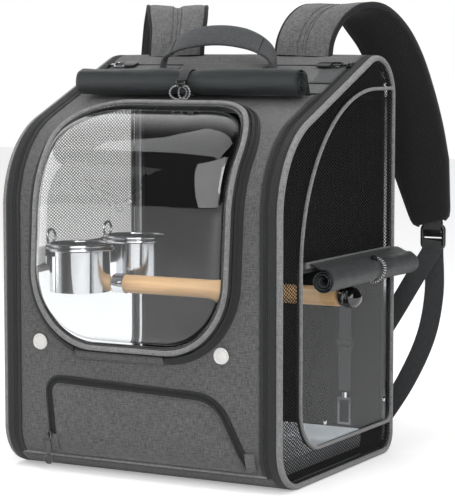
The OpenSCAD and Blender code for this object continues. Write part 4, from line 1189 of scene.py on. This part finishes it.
pocket = patch(pocket_outline(7.6), on_front_z, 3.6, pocket_swell)
pocket_cloth = pocket.make("pocket_cloth", "front_door", "grey_fabric", [heather, lining], ["pocket"],
                           thick=1.2, lining=True)


def pocket_zip_line(inset, step=3.0):
    """Up the left side, over the top and down the right side, as spots (x, s)."""
    outline = spaced(pocket_outline(inset), step, closed=True)
    path = open_run(outline, outline[:, 1] >= outline[:, 1].min() + 1.5)
    return np.array([(x, front.s_of_z(z)) for x, z in path])


zip_cloth = along_cloth(Shape(), front, pocket_zip_line(4.4), [
    (-4.4, -0.4), (4.4, -0.4), (4.5, 1.0), (3.6, 2.2), (1.7, 2.5), (1.3, 1.2), (-1.3, 1.2), (-1.7, 2.5),
    (-3.6, 2.4), (-4.5, 1.0)])
zip_cloth.make("pocket_zip_band", "front_door", "zip", [black_cloth], ["pocket_zip"])
lines = [on_cloth(front, pocket_zip_line(4.4 + shift), 1.5) for shift in (-0.65, 0.65)]
beads("pocket_zip_coil", lines, 1.9, (1.25, 1.7, 1.2), zip_plastic, "front_door", "zip")
lines = [on_cloth(front, pocket_zip_line(9.6), 3.2)]
beads("pocket_stitches", lines, 3.2, (2.2, 0.5, 0.5), zip_plastic, "front_door", "grey_fabric")
# the folded cloth that closes the zip's two ends, and the seam along the bottom
ends = Shape()
for x, wide in ((-100.0, 9.0), (131.0, 11.0)):
    path = [front.at(x, front.s_of_z(z), 2.4) for z in np.linspace(24, 41, 8)]
    ends.sweep(path, (1, 0, 0), oval(wide, 1.7, 14, 0.35))
seam = [front.at(x, front.s_of_z(22.6), 1.0) for x in np.linspace(-101, 131, 60)]
ends.sweep(seam, (0, 0.4, -0.9), oval(3.4, 2.6, 10, 0.7))
ends.make("pocket_ends", "front_door", "grey_fabric", [heather_light])

BUTTON_HALF, BUTTON_SHIFT, BUTTON_Z = 107.84, -9, 137.03
CAP_SECTION = [(0, 0), (8.2, 0), (8.4, 1.6), (7.9, 2.3), (7.1, 2.55), (6.7, 2.2), (5.2, 2.15), (4.7, 2.5),
               (3.4, 2.75), (0, 2.9)]
RING_SECTION = [(9.0, 0.2), (9.0, 1.2), (8.6, 1.7), (8.1, 1.5), (8.1, 0.2), (9.0, 0.2)]
buttons, rings = Shape(), Shape()
for side in (-1, 1):
    at = (side * BUTTON_HALF + BUTTON_SHIFT, FRONT, BUTTON_Z)
    buttons.lathe(at, (0, -1, 0), CAP_SECTION, 48)
    rings.lathe(at, (0, -1, 0), RING_SECTION, 48)
buttons.make("snap_caps", "front_door", "button_metal", [button_enamel], ["snap_buttons"])
rings.make("snap_rings", "front_door", "button_metal", [steel])

# %% [markdown]
# A slider is two rounded plates with a bridge over them, small enough to be made of swept sections.
# The pocket's pull swings, so it rides on a body of its own, and its slider stays with the door.

# %% Zip sliders and pulls
def slider(shape, at, along, out, size=1.0):
    """A zip slider: two rounded plates with a bridge between them, at a point and along a direction."""
    at, along, out = np.array(at, float), unit(np.array(along, float)), unit(np.array(out, float))
    across = np.cross(along, out)
    for high in (0.4, 2.0):
        path = [at + along * t * size + out * high * size for t in np.linspace(-4.5, 4.5, 9)]
        wide = [3.4, 5.0, 5.8, 6.0, 5.6, 5.0, 4.6, 4.2, 3.0]
        shape.sweep(path, across, lambda i: [(a * size, b * size) for a, b in oval(wide[i], 1.0, 12, 0.6)])
    bridge = [at + along * t * size + out * (2.4 + 1.6 * math.sin(math.pi * (t + 3.5) / 7)) * size
              for t in np.linspace(-3.5, 3.5, 8)]
    shape.sweep(bridge, across, [(a * size, b * size) for a, b in oval(1.6, 0.9, 8, 0.7)])
    return shape


PULL_X, PULL_FACE = -104, -144.2
slider(Shape(), (PULL_X, -141.3, 40.0), (0, 0, 1), (0, -1, 0)).make(
    "pocket_slider", "front_door", "zip", [dark_metal])
PULL_WIDE = [4.2, 5.2, 5.8, 6, 6, 6, 6, 5.8, 5.2, 4.0]
pull = Shape().sweep([(PULL_X, PULL_FACE + 0.4 * math.sin(t * 3), 34.5 - 15.0 * t)
                      for t in np.linspace(0, 1, 10)],
                     (1, 0, 0), lambda i: oval(PULL_WIDE[i], 1.5, 14, 0.5))
pull.tube([(PULL_X + 4.9 * math.cos(a), PULL_FACE, 14.9 + 4.9 * math.sin(a) * 0.9 - 0.4)
           for a in np.linspace(0, 2 * math.pi, 28, endpoint=False)], 0.95, loop=True, sides=(0, 1, 0),
          count=8)
pull.make("pocket_pull_metal", "pocket_zip_pull", "zip", [dark_metal], ["pocket_pull"])

small = Shape()
for x in (-22.0, 32.0):
    s = front.s_of_y(-52.0)
    at, out = front.at(x, s, 2.2), np.array([0, *front.out(s)])
    slider(small, at, (1, 0, 0), out, 0.8)
    path = [at + out * (2.6 - 0.8 * t) + np.array([0, -0.8, -0.55]) * 13 * t for t in np.linspace(0, 1, 8)]
    small.sweep(path, (1, 0, 0), lambda i: oval([2.6, 3.4, 3.8, 3.8, 3.6, 3.8, 3.8, 2.6][i], 1.1, 10, 0.6))
small.make("window_zip_pulls", "front_door", "steel", [steel])
print("pocket and small parts made")

# %% [markdown]
# ## Rolled covers
# Each cover is one sheet, sewn along one edge, rolled up from the other and tied. It is made as a
# true spiral from a flat pattern long enough to cover its window, so its ends show the turns. The
# tie squeezes the roll, and soft creases run along it.

# %% Rolls
def roll_rows(lead, start, way, outer, inner, length, stations, tie_at, place, seed):
    """Rows of a rolled sheet. lead is the part (a, b) before the spiral; place(t, a, b) sets a point."""
    turn = 2 * length / (outer + inner)
    steps = round(turn / math.radians(12))
    rows = []
    for t in stations:
        squeeze = 1 - 0.2 * math.exp(-((t - tie_at) / 13) ** 2)
        ends = min(t - stations[0], stations[-1] - t)
        row = [place(t, a, b) for a, b in lead]
        for k in range(steps + 1):
            share, angle = k / steps, start + way * turn * k / steps
            radius = (outer + (inner - outer) * share) * squeeze
            creases = 1.1 * bumps(t * 0.22, angle * outer * 1.7, 15, seed)
            radius += (creases + 0.4 * bumps(t, angle * outer, 13, seed + 2)) * (1 - share)
            slip = 2.4 * bumps(angle * 3, 0, 4, seed + 4) * math.exp(-ends / 16)
            row.append(place(t + slip, radius * math.cos(angle), radius * math.sin(angle)))
        rows.append(row)
    return rows


def settle(span):
    """A little unevenness along a roll, so that it isn't a straight rod."""
    return lambda t: 1.1 * math.sin(t / span) + 0.8 * bumps(t, 0, 55, 8)


FRONT_ROLL = np.array([-38.04, 407.5])
FRONT_ROLL_X, front_sway = 5.0, settle(47)


def on_front_roll(t, a, b):
    y, z = FRONT_ROLL + ROOF_ALONG * a + ROOF_OUT * (b - 1.2 + 0.5 * front_sway(t))
    return (t, y, z)


lead = [(14.0 + 0.5 * k / 8, -19.4 + 17.4 * k / 8) for k in range(9)]
rows = roll_rows(lead, math.radians(-4), 1, 14.9, 3.6, 225, np.linspace(-127, 137, 72), FRONT_ROLL_X,
                 on_front_roll, 11)
front_roll = Shape().grid(rows, away_from=np.array([5, *(FRONT_ROLL)])).make(
    "front_roll", "front_door", "cover_fabric", [cover_cloth], ["front_cover"], thick=0.9)

SIDE_ROLL = np.array([181.0, 210.5])
side_sway = settle(41)


def on_side_roll(side):
    return lambda t, a, b: (side * (SIDE_ROLL[0] + a + 0.3 * side_sway(t)), t,
                            SIDE_ROLL[1] + b + 0.4 * side_sway(t) - 0.4)


side_lead = [(-16.2, 11.8), (-16.2, 14.2), (-15.9, 16.2), (-14.6, 17.0), (-12.0, 16.6), (-8.5, 15.2),
             (-5.2, 13.6)]
for side, word in SIDES:
    rows = roll_rows(side_lead, math.radians(98), -1, 12.7, 5.2, 165, np.linspace(-76.9, 136.5, 62), 46.0,
                     on_side_roll(side), 21 + side)
    made = Shape().grid(rows, away_from=np.array([side * SIDE_ROLL[0], 30, SIDE_ROLL[1]])).make(
        f"{word}_roll", "pack", "cover_fabric", [cover_cloth], [f"{word}_cover"], thick=0.9)
    # the folded hem that joins the cover to the wall
    hem = Shape().sweep([(side * 165.0, y, 225.2 + 0.3 * bumps(y, 0, 20))
                         for y in np.linspace(-84, 122.6, 50)],
                        (0, 0, 1), oval(6.6, 1.6, 12, 0.4))
    hem.make(f"{word}_cover_hem", "pack", "grey_fabric", [heather_light])
print("rolled covers made")

# %% [markdown]
# A tie holds each roll: a webbing band with a toggle in front, doubled elastic cord at the sides. They
# are rings of points round the roll, a little inside its loose surface, so the cloth looks squeezed.

# %% Ties
def ring_round(centre, a_way, b_way, radius, count=40):
    """Points of a ring in the plane of two directions."""
    angles = np.radians(np.linspace(0.0, 360.0, count, endpoint=False))
    a_way, b_way = np.array(a_way) * radius, np.array(b_way) * radius
    return [np.array(centre) + a_way * math.cos(t) + b_way * math.sin(t) for t in angles]


TOGGLE_SECTION = [(0, 0), (2.6, 0.1), (3.4, 0.9), (3.6, 2.5), (3.2, 6), (3.6, 9.5), (3.4, 11.1),
                  (2.6, 11.9), (0, 12)]
tie = Shape()
middle = np.array([FRONT_ROLL_X, *(FRONT_ROLL - ROOF_OUT * 0.9)])
tie.sweep(ring_round(middle, ALONG3, OUT3, 13.6), (1, 0, 0), oval(11, 1.5, 12, 0.4), loop=True)
toggle_at = middle + ALONG3 * -13.8 + OUT3 * 5.5
tie.lathe(toggle_at - np.array([6, 0, 0]), (1, 0, 0), TOGGLE_SECTION, 20, finish=1)
for lean in (-1, 1):
    loop = [toggle_at + np.array([lean * (3.5 + 8.5 * math.sin(t)), -1.4 - 3.0 * math.sin(t),
                                  -3.0 - 9.0 * (1 - math.cos(t)) * 0.8])
            for t in np.linspace(0, 2 * math.pi * 0.92, 26)]
    tie.tube(smooth_path(loop, 2), 1.0, sides=(0, 1, 0.2), count=8, finish=2)
tie.make("front_roll_tie", "front_door", "webbing", [webbing_cloth, black_plastic, elastic],
         ["front_cover_tie"])

for side, word in SIDES:
    tie = Shape()
    lean = np.array([0, 0.34, 0])
    for shift in (-1.5, 1.5):
        ring = [np.array([side * (181 + 12.4 * math.cos(t)), 46 + shift + 3.4 * math.sin(t),
                          210.1 + 12.4 * math.sin(t)])
                for t in np.linspace(math.radians(-165), math.radians(126), 40)]
        ring += [np.array([side * 167.0, 49 + shift, 225.0]), np.array([side * 165.4, 49 + shift, 226.5])]
        tie.tube(smooth_path(ring, 1), 1.25, sides=(0, 1, 0), count=8)
    knot = np.array([side * 182.5, 43.0, 223.6])
    loop = [knot + np.array([side * (2 + 2 * math.sin(t)), -6.5 * math.sin(t * 0.5),
                             -6.0 * (1 - math.cos(t))]) for t in np.linspace(0, 2 * math.pi, 26)]
    tie.tube(loop, 1.0, sides=(1, 0, 0.2), count=8, finish=1)
    tie.lathe(knot - np.array([0, 4, 0]), (0, 1, 0),
              [(0, 0), (2.2, 0.2), (2.8, 1.2), (2.8, 6.8), (2.2, 7.8), (0, 8)], 16, finish=1)
    tie.make(f"{word}_roll_tie", "pack", "webbing", [elastic, black_plastic], [f"{word}_cover_tie"])
print("ties made")

# %% [markdown]
# ## Straps, handle and back
# A shoulder strap is a padded band: heathered cloth outside, black mesh inside, bound edges and one
# stitched groove along the middle. The same curve as in the CAD source carries it, in finer steps.

# %% Shoulder straps
STRAP_W, STRAP_T, WEBBING_W = 68.0, 12.0, 22.0
STRAP_OUTWARD, STRAP_BACK, STRAP_UP, STRAP_DOWN = 104, 114, 51, 184
strap_root = np.array([79.0, 82.0, roof_z(82) - 1])
strap_shares = [(0, 0, 0), (0.01, 0.035, 0.35), (0.05, 0.13, 0.70), (0.135, 0.26, 0.94), (0.25, 0.42, 1),
                (0.39, 0.58, 0.86), (0.53, 0.72, 0.47), (0.635, 0.825, -0.02), (0.72, 0.91, -0.21),
                (0.80, 0.975, -0.43), (0.865, 1, -0.65),
                (0.93, 1.015, -0.84), (1, 1, -1)]
strap_line = np.array(smooth_path([strap_root + np.array([a * STRAP_OUTWARD, b * STRAP_BACK,
                                                          c * (STRAP_UP if c > 0 else STRAP_DOWN)])
                                   for a, b, c in strap_shares], 6))
strap_wide = np.interp(np.linspace(0, 24, len(strap_line)), [0, 20, 23.2, 23.8, 24],
                       [STRAP_W, STRAP_W, 48, 42, 34])
strap_end = strap_line[-1]


def strap_section(i):
    """Mesh side first, then the cloth side with its groove."""
    wide = strap_wide[i]
    across = np.cos(np.linspace(0, math.pi, 15)) * wide / 2
    full = [STRAP_T / 2 * (1 - abs(2 * a / wide) ** 5) ** 0.6 for a in across]
    cloth = [-h + 2.6 * math.exp(-((a / 3.2) ** 2)) for a, h in zip(across, full)]
    return list(zip(across, full)) + list(zip(across[::-1], cloth[::-1]))[1:-1]


strap_along = np.gradient(strap_line, axis=0)
strap_along /= np.linalg.norm(strap_along, axis=1)[:, None]
strap_side = np.array([1.0, 0, 0]) - strap_along * strap_along[:, :1]
strap_side /= np.linalg.norm(strap_side, axis=1)[:, None]
strap_out = np.cross(strap_along, strap_side)
for side, word in SIDES:
    turn = np.array([side, 1, 1])
    strap = Shape().sweep(strap_line * turn, (1, 0, 0), strap_section,
                          finish=lambda i, j: 1 if j < 14 else 0)
    for edge in (-1, 1):
        bound = strap_line + strap_side * (edge * (strap_wide[:, None] / 2 - 1.6))
        strap.sweep(bound * turn, (1, 0, 0), oval(4.6, 6.6, 12, 0.8), finish=2)
    strap.make(f"{word}_strap_pad", "pack", "strap_fabric", [heather_light, padded_mesh, black_cloth],
               [f"{word}_shoulder_strap"])
    seam = ((strap_line - strap_out * 3.9)[2:-3] * turn, (-strap_out)[2:-3] * turn)
    rows = [((strap_line - strap_out * 5.9 + strap_side * shift)[2:-8] * turn, (-strap_out)[2:-8] * turn)
            for shift in (-5.0, 5.0)]
    beads(f"{word}_strap_stitches", [seam, *rows], 3.4, (2.6, 0.7, 0.6), zip_plastic, "pack",
          "strap_fabric")

# %% [markdown]
# The webbing climbs from the foot of the case, goes round the buckle's lowest bar and hangs down as a
# loose end. One smooth curve through a few points gives all of it, and its flat side turns on the way.

# %% Buckles and webbing
def rounded_loop(middle, wide, high, radius, a_way, b_way):
    """A rounded rectangle in space, for wire and plastic loops."""
    flat = spaced(rounded([(-wide / 2, -high / 2, radius), (wide / 2, -high / 2, radius),
                           (wide / 2, high / 2, radius),
                           (-wide / 2, high / 2, radius)]), 1.6, closed=True)
    return [np.array(middle) + np.array(a_way) * a + np.array(b_way) * b for a, b in flat]


foot = strap_end + np.array([2, 0, -32])
sewn = np.array([135, 138.5, HEEL_R])
loose = np.array([109, 148.9, 62])
climbing = [sewn + (foot + [1, 0.2, 0] - sewn) * np.array(q) for q in (
    (0, 0, 0), (0.20, 0.19, 0.06), (0.57, 0.57, 0.26), (0.90, 0.85, 0.51), (1.02, 0.99, 0.76), (1, 1, 1))]
drop = foot + [-1, -4.3, -1]
falling = [drop + (loose - drop) * np.array(q) for q in (
    (0, 0, 0), (0.19, 0.17, 0.17), (0.44, 0.49, 0.42), (0.71, 0.83, 0.68), (0.89, 0.99, 0.86), (1, 1, 1))]
# round the buckle's lowest bar, from the climbing webbing to the loose end
over_bar = [foot + q for q in ([0.6, 3.6, 4.5], [0.2, 3.9, 9.5], [0, 0.6, 12.4], [-0.4, -3.6, 9.0])]
webbing_line = np.array(smooth_path(climbing + over_bar + falling, 6))
free_share = np.linspace(0, len(climbing + over_bar + falling), len(webbing_line)) / 1.6
free_share = np.clip(free_share, 0, 1)[:, None]
webbing_side = np.array([0.77, 0, -0.64]) * (1 - free_share) + np.array([1, 0.15, 0]) * free_share
for side, word in SIDES:
    turn = np.array([side, 1, 1])
    belt = Shape().sweep(webbing_line * turn, webbing_side * turn, oval(WEBBING_W, 1.7, 20, 0.35))
    hem = [loose + (falling[-2] - loose) * t + np.array([0, 1.6, 0]) for t in np.linspace(-0.02, 0.62, 8)]
    belt.sweep(np.array(hem) * turn, (1, 0, 0), oval(WEBBING_W, 1.6, 16, 0.35))
    # the short loop that holds the buckle to the strap
    top = strap_end + np.array([2, 0, -8.0])
    short = [top + q for q in ([-1, -2.0, 15], [0, -3.4, 8], [0, -3.2, 0.5], [0, 0, -1.8], [0, 3.2, 0.5],
                               [0, 3.4, 8], [-1, 2.0, 15])]
    belt.sweep(np.array(smooth_path(short, 4)) * turn, (1, 0, 0), oval(20.5, 1.5, 18, 0.35))
    belt.make(f"{word}_strap_webbing", "pack", "webbing", [webbing_cloth],
              [f"{word}_webbing", f"{word}_webbing_tail"])
    middle = (strap_end + np.array([2, 0, -16])) * turn
    buckle = Shape().sweep(rounded_loop(middle, 25.4, 25.4, 5, (1, 0, 0), (0, 0, 1)), (0, 1, 0),
                           oval(4.8, 4.4, 12, 0.7), loop=True)
    for high, wide in ((2.6, 5.6), (-3.4, 3.6)):
        bar = [middle + np.array([x, -0.2, high]) for x in np.linspace(-12.6, 12.6, 10)]
        buckle.sweep(bar, (0, 0, 1), oval(wide, 3.8, 14, 0.6))
    lip = [middle + np.array([x, -2.6 - 0.5 * math.cos(x / 8), 6.4]) for x in np.linspace(-10, 10, 10)]
    buckle.sweep(lip, (0, 0, 1), oval(6.5, 1.8, 14, 0.6))
    buckle.make(f"{word}_ladder_buckle", "pack", "black_plastic", [black_plastic], [f"{word}_buckle"])
print("straps, webbing and buckles made")

# %% [markdown]
# The back pad is quilted foam under air mesh. It is a set of rings drawn in from the edge, with the
# foam's height worked out at each point, so the grooves between the cushions are real shape.

# %% Back pad
PAD_X, PAD_LOW, PAD_TOP, PAD_R, PAD_GROOVES = 128.0, 55.0, 378.0, 22, (162, 270)
pad_edge = np.array(spaced(rounded([(-PAD_X, PAD_LOW, PAD_R), (PAD_X, PAD_LOW, PAD_R),
                                    (PAD_X, PAD_TOP, PAD_R), (-PAD_X, PAD_TOP, PAD_R)]),
                           6.0, closed=True))
pad_middle = np.array([0, (PAD_LOW + PAD_TOP) / 2])


def pad_high(x, z):
    """Six cushions: three rows with a groove down the middle."""
    edge = max(0.0, min(PAD_X - abs(x), z - PAD_LOW, PAD_TOP - z))
    full = 1.2 + 8.6 * (1 - math.exp(-edge / 7))
    groove = 5.2 * math.exp(-((x / 9) ** 2)) + sum(4.4 * math.exp(-(((z - line) / 7) ** 2))
                                                   for line in PAD_GROOVES)
    return max(0.8, full - groove + 0.25 * bumps(x, z, 40, 7))


pad_rows = [[(x, BACK + 0.2, z) for x, z in pad_edge]]
for share in np.concatenate([[1.0, 0.994, 0.98, 0.96, 0.93], np.linspace(0.89, 0.03, 25)]):
    ring = pad_middle + (pad_edge - pad_middle) * share
    pad_rows.append([(x, BACK + pad_high(x, z), z) for x, z in ring])
pad = Shape().grid(pad_rows, ring=True, caps=True).make("back_cushion", "pack", "mesh", [padded_mesh],
                                                        ["back_pad"])

# %% [markdown]
# A slate band crosses the roof under the handle. The handle is an upright arch of webbing, narrow at
# its feet and wide in the middle. Its flat side lies on the roof at the feet and tilts up at the top.

# %% Roof band and handle
BAND_S, BAND_L = roof.s_of_y(BAND_Y), 48.0
band_rows = [[roof.at(x, s, 0.45 + 0.1 * bumps(x, s, 45, 4)) for x in np.linspace(-145.6, 145.6, 61)]
             for s in np.linspace(BAND_S, BAND_S + BAND_L, 9)]
Shape().grid(band_rows, away_from=CASE_MIDDLE).make(
    "roof_band", "pack", "black_fabric", [slate_cloth], ["top_band"], thick=0.8)
seams = Shape()
for s in (0.8, BAND_S, BAND_S + BAND_L):
    seams.tube([roof.at(x, s, 0.7) for x in np.linspace(-145.4, 145.4, 40)], 0.9, sides=OUT3, count=8)
seams.make("roof_seams", "pack", "black_fabric", [black_cloth])
feet_patch = patch(rounded([(-53, BAND_S + 3, 12), (53, BAND_S + 3, 12), (53, BAND_S + BAND_L + 3, 4),
                            (-53, BAND_S + BAND_L + 3, 4)]), roof.at, 4.0,
                   lambda a, b, edge: 2.0 + 0.9 * (1 - math.exp(-edge / 4)) + 0.3 * bumps(a, b, 30, 2))
feet_patch.make("roof_patch", "pack", "grey_fabric", [heather], thick=1.0)

HANDLE_Y, HANDLE_HALF, HANDLE_RISE = 34, 68, 38
HANDLE_AT = np.array([0, HANDLE_Y, roof_z(HANDLE_Y) + 0.8 + 2.5 + 0.4])
handle_turn = np.linspace(0, math.pi, 61)
handle_line = [HANDLE_AT + np.array([-HANDLE_HALF * math.cos(a), 0, HANDLE_RISE * math.sin(a) ** 0.8])
               for a in handle_turn]
handle_lean = [math.radians(22.5 + 40 * math.sin(a)) for a in handle_turn]
handle_wide = np.interp(handle_turn,
                        [0, 0.12, 0.5, 1.1, math.pi - 1.1, math.pi - 0.5, math.pi - 0.12, math.pi],
                        [10, 12, 20, 24, 24, 20, 12, 10])
handle_sides = [(0, math.cos(a), math.sin(a)) for a in handle_lean]
grip = Shape().sweep(handle_line, handle_sides, lambda i: oval(
    handle_wide[i], 4.6 + 0.5 * math.exp(-((i - 30) / 14) ** 2), 24, 0.55))
for i in (13, 47):
    up = np.cross(unit(handle_line[i + 1] - handle_line[i - 1]), handle_sides[i])
    ring = [handle_line[i] + np.array(handle_sides[i]) * a + up * b
            for a, b in oval(handle_wide[i] + 0.7, 5.6, 26, 0.55)]
    grip.tube(ring, 0.55, loop=True, sides=(1, 0.1, 0.1), count=6, finish=1)
grip.make("grip", "handle", "cover_fabric", [slate_cloth, black_cloth], ["carry_handle"])
handle_ups = [np.cross(unit(np.gradient(np.array(handle_line), axis=0)[i]), handle_sides[i])
              for i in range(61)]
lines = []
for edge in (-1, 1):
    path = [np.array(handle_line[i]) + np.array(handle_sides[i]) * edge * (handle_wide[i] / 2 - 2.4)
            - handle_ups[i] * 2.6
            for i in range(6, 55)]
    lines.append((path, [-handle_ups[i] for i in range(6, 55)]))
beads("grip_stitches", lines, 3.2, (2.2, 0.55, 0.5), zip_plastic, "handle", "cover_fabric")
tabs = Shape()
for side in (-1, 1):
    tabs.sweep([roof.at(side * x, roof.s_of_y(HANDLE_Y), 2.3) for x in np.linspace(63, 84, 8)], ALONG3,
               oval(22, 1.6, 16, 0.35))
tabs.make("handle_tabs", "pack", "black_fabric", [slate_cloth])
print("back pad, roof band and handle made")

# %% [markdown]
# Each long zip ends on the roof in a slider with a wire loop and a moulded sleeve. The loop lifts, so
# it rides on a body of its own, and the slider stays on the case.

# %% Pulls of the long zips
PULL_Y = 52.0
SLEEVE_WIDE = [8, 11, 12, 12.4, 12.6, 12.6, 12.6, 12.6, 12.4, 12, 10.6, 7]
sliders = Shape()
for side, word, metal in ((-1, "left", steel), (1, "right", dark_metal)):
    at = np.array([side * (CHAIN_X + 1.8), PULL_Y, roof_z(PULL_Y)])
    slider(sliders, at + OUT3 * 0.6, ALONG3, OUT3, 0.9)
    inward = np.array([-side, 0, 0])
    middle = at + inward * 16.5 + OUT3 * 3.0
    loop = Shape().tube(rounded_loop(middle, 17, 10.5, 4.6, inward, ALONG3), 1.15, loop=True, sides=OUT3,
                        count=10)
    loop.sweep([at + inward * u + OUT3 * 3.0 for u in np.linspace(3.3, 9.2, 6)], ALONG3,
               oval(3.4, 1.0, 12, 0.6))
    sleeve = [at + inward * u + OUT3 * 3.0 for u in np.linspace(20, 36.5, 12)]
    loop.sweep(sleeve, ALONG3, lambda i: oval(SLEEVE_WIDE[i], 2.6, 16, 0.55), finish=1)
    loop.make(f"{word}_pull_loop", f"{word}_zip_pull", "zip", [metal, black_plastic], [f"{word}_door_pull"])
sliders.make("long_zip_sliders", "pack", "zip", [dark_metal])

# %% [markdown]
# ## Inside
# The tether hangs from a sewn patch on the back board. The tray is one thin shell with round
# corners. Hard pieces whose CAD shape is already right keep it and get their final finish.

# %% Tether, tray and kept pieces
TETHER_X, TETHER_Y = 112.0, 121.1
line = Shape().sweep([(TETHER_X + 0.3 * math.sin(z / 17), TETHER_Y + 0.25 * math.sin(z / 23), z)
                      for z in np.linspace(175.4, 65.2, 40)],
                     (1, 0, 0), oval(14, 1.5, 18, 0.35))
line.sweep([(TETHER_X, TETHER_Y - 1.7, z) for z in np.linspace(112, 88, 8)], (1, 0, 0),
           oval(14, 1.2, 18, 0.35))
line.sweep(rounded_loop((TETHER_X, TETHER_Y, 118.9), 17, 7, 2.2, (1, 0, 0), (0, 0, 1)), (0, 1, 0),
           oval(3.2, 3.0, 10, 0.7), loop=True, finish=1)
line.make("tether_webbing", "tether_line", "webbing", [webbing_cloth, black_plastic], ["tether"])
anchor = Shape().sweep([(TETHER_X, TETHER_Y + 5.8 + 0.3 * math.sin(z / 3), z)
                        for z in np.linspace(172.5, 193.5, 10)], (1, 0, 0),
                       oval(17.6, 5.4, 20, 0.3))
anchor.make("tether_patch", "pack", "black_fabric", [black_cloth], ["tether_anchor"])

TRAY_X, TRAY_Y, TRAY_Z = 142.0, (-92.5, 115.5), 7.4


def tray_ring(inset, z):
    """The tray's outline moved inwards, at a height."""
    ring, radius = [], 16.0 - min(inset, 12) * 0.7
    for quarter, (x_way, y_way) in enumerate(((1, 1), (-1, 1), (-1, -1), (1, -1))):
        x = x_way * (TRAY_X - inset - radius)
        y = sum(TRAY_Y) / 2 + y_way * ((TRAY_Y[1] - TRAY_Y[0]) / 2 - inset - radius)
        for a in np.radians(np.linspace(0, 90, 10) + 90 * quarter):
            ring.append((x + radius * math.cos(a), y + radius * math.sin(a), z))
    return ring


tray_rows = [tray_ring(inset, TRAY_Z + z) for inset, z in (
    (9, 0), (5, 0), (2.6, 0.9), (1.9, 3), (1.0, 13), (0.9, 15.6), (0.2, 16.2), (0, 17.1), (0.5, 17.9),
    (1.6, 18.0), (2.4, 17.4), (2.6, 15.8),
    (3.2, 5), (4.4, 2.9), (7, 2.0), (12, 2.0))]
Shape().grid(tray_rows, ring=True, caps=True).make("moulded_tray", "tray_body", "tray_white",
                                                   [tray_plastic], ["tray"])

for finish, words in (
        (wood, "perch"), (knob_plastic, "perch_knob"), (chrome, "perch_ferrule swivel_hook hook_gate"),
        (steel, "front_cup_holder rear_cup_holder front_cup rear_cup left_frame_wire right_frame_wire"),
        (board_plastic, "floor_board back_board"), (pane_clear, "left_side_window right_side_window")):
    for word in words.split():
        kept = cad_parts[word]
        if not kept.hide_render:
            kept.data.materials.clear()
            kept.data.materials.append(finish)

edges = Shape().tube([front.at(x, 1.5, 0.6) for x in np.linspace(-145, 145, 50)], 1.5, sides=(0, 1, 0.4),
                     count=10)
edges.make("door_foot_piping", "front_door", "piping", [piping_cloth])
studs = Shape()
for side in (-1, 1):
    for y, z in ((-31.8, 58.8), (116.6, 60.4)):
        studs.lathe((side * 161.6, y, z), (side, 0, 0),
                    [(0, -0.4), (3.1, -0.4), (3.3, 0.5), (2.6, 1.3), (1.2, 1.6), (0, 1.7)], 20)
studs.make("pane_studs", "pack", "steel", [steel])
for shell, wide, profile, share in ((front_shell, 0.292, front, 0.60), (roof_shell, 0.300, roof, None),
                                    (base_shell, 0.300, under, None),
                                    (back_shell, 0.300, back_profile, None)):
    long = profile.length * MM
    share and share * wide * long
print("inside and kept pieces made")

# %% The sizes of the CAD model and of the finished scene
low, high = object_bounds()
{"cad": [list(cad_low), list(cad_high)], "visual": [list(low), list(high)]}
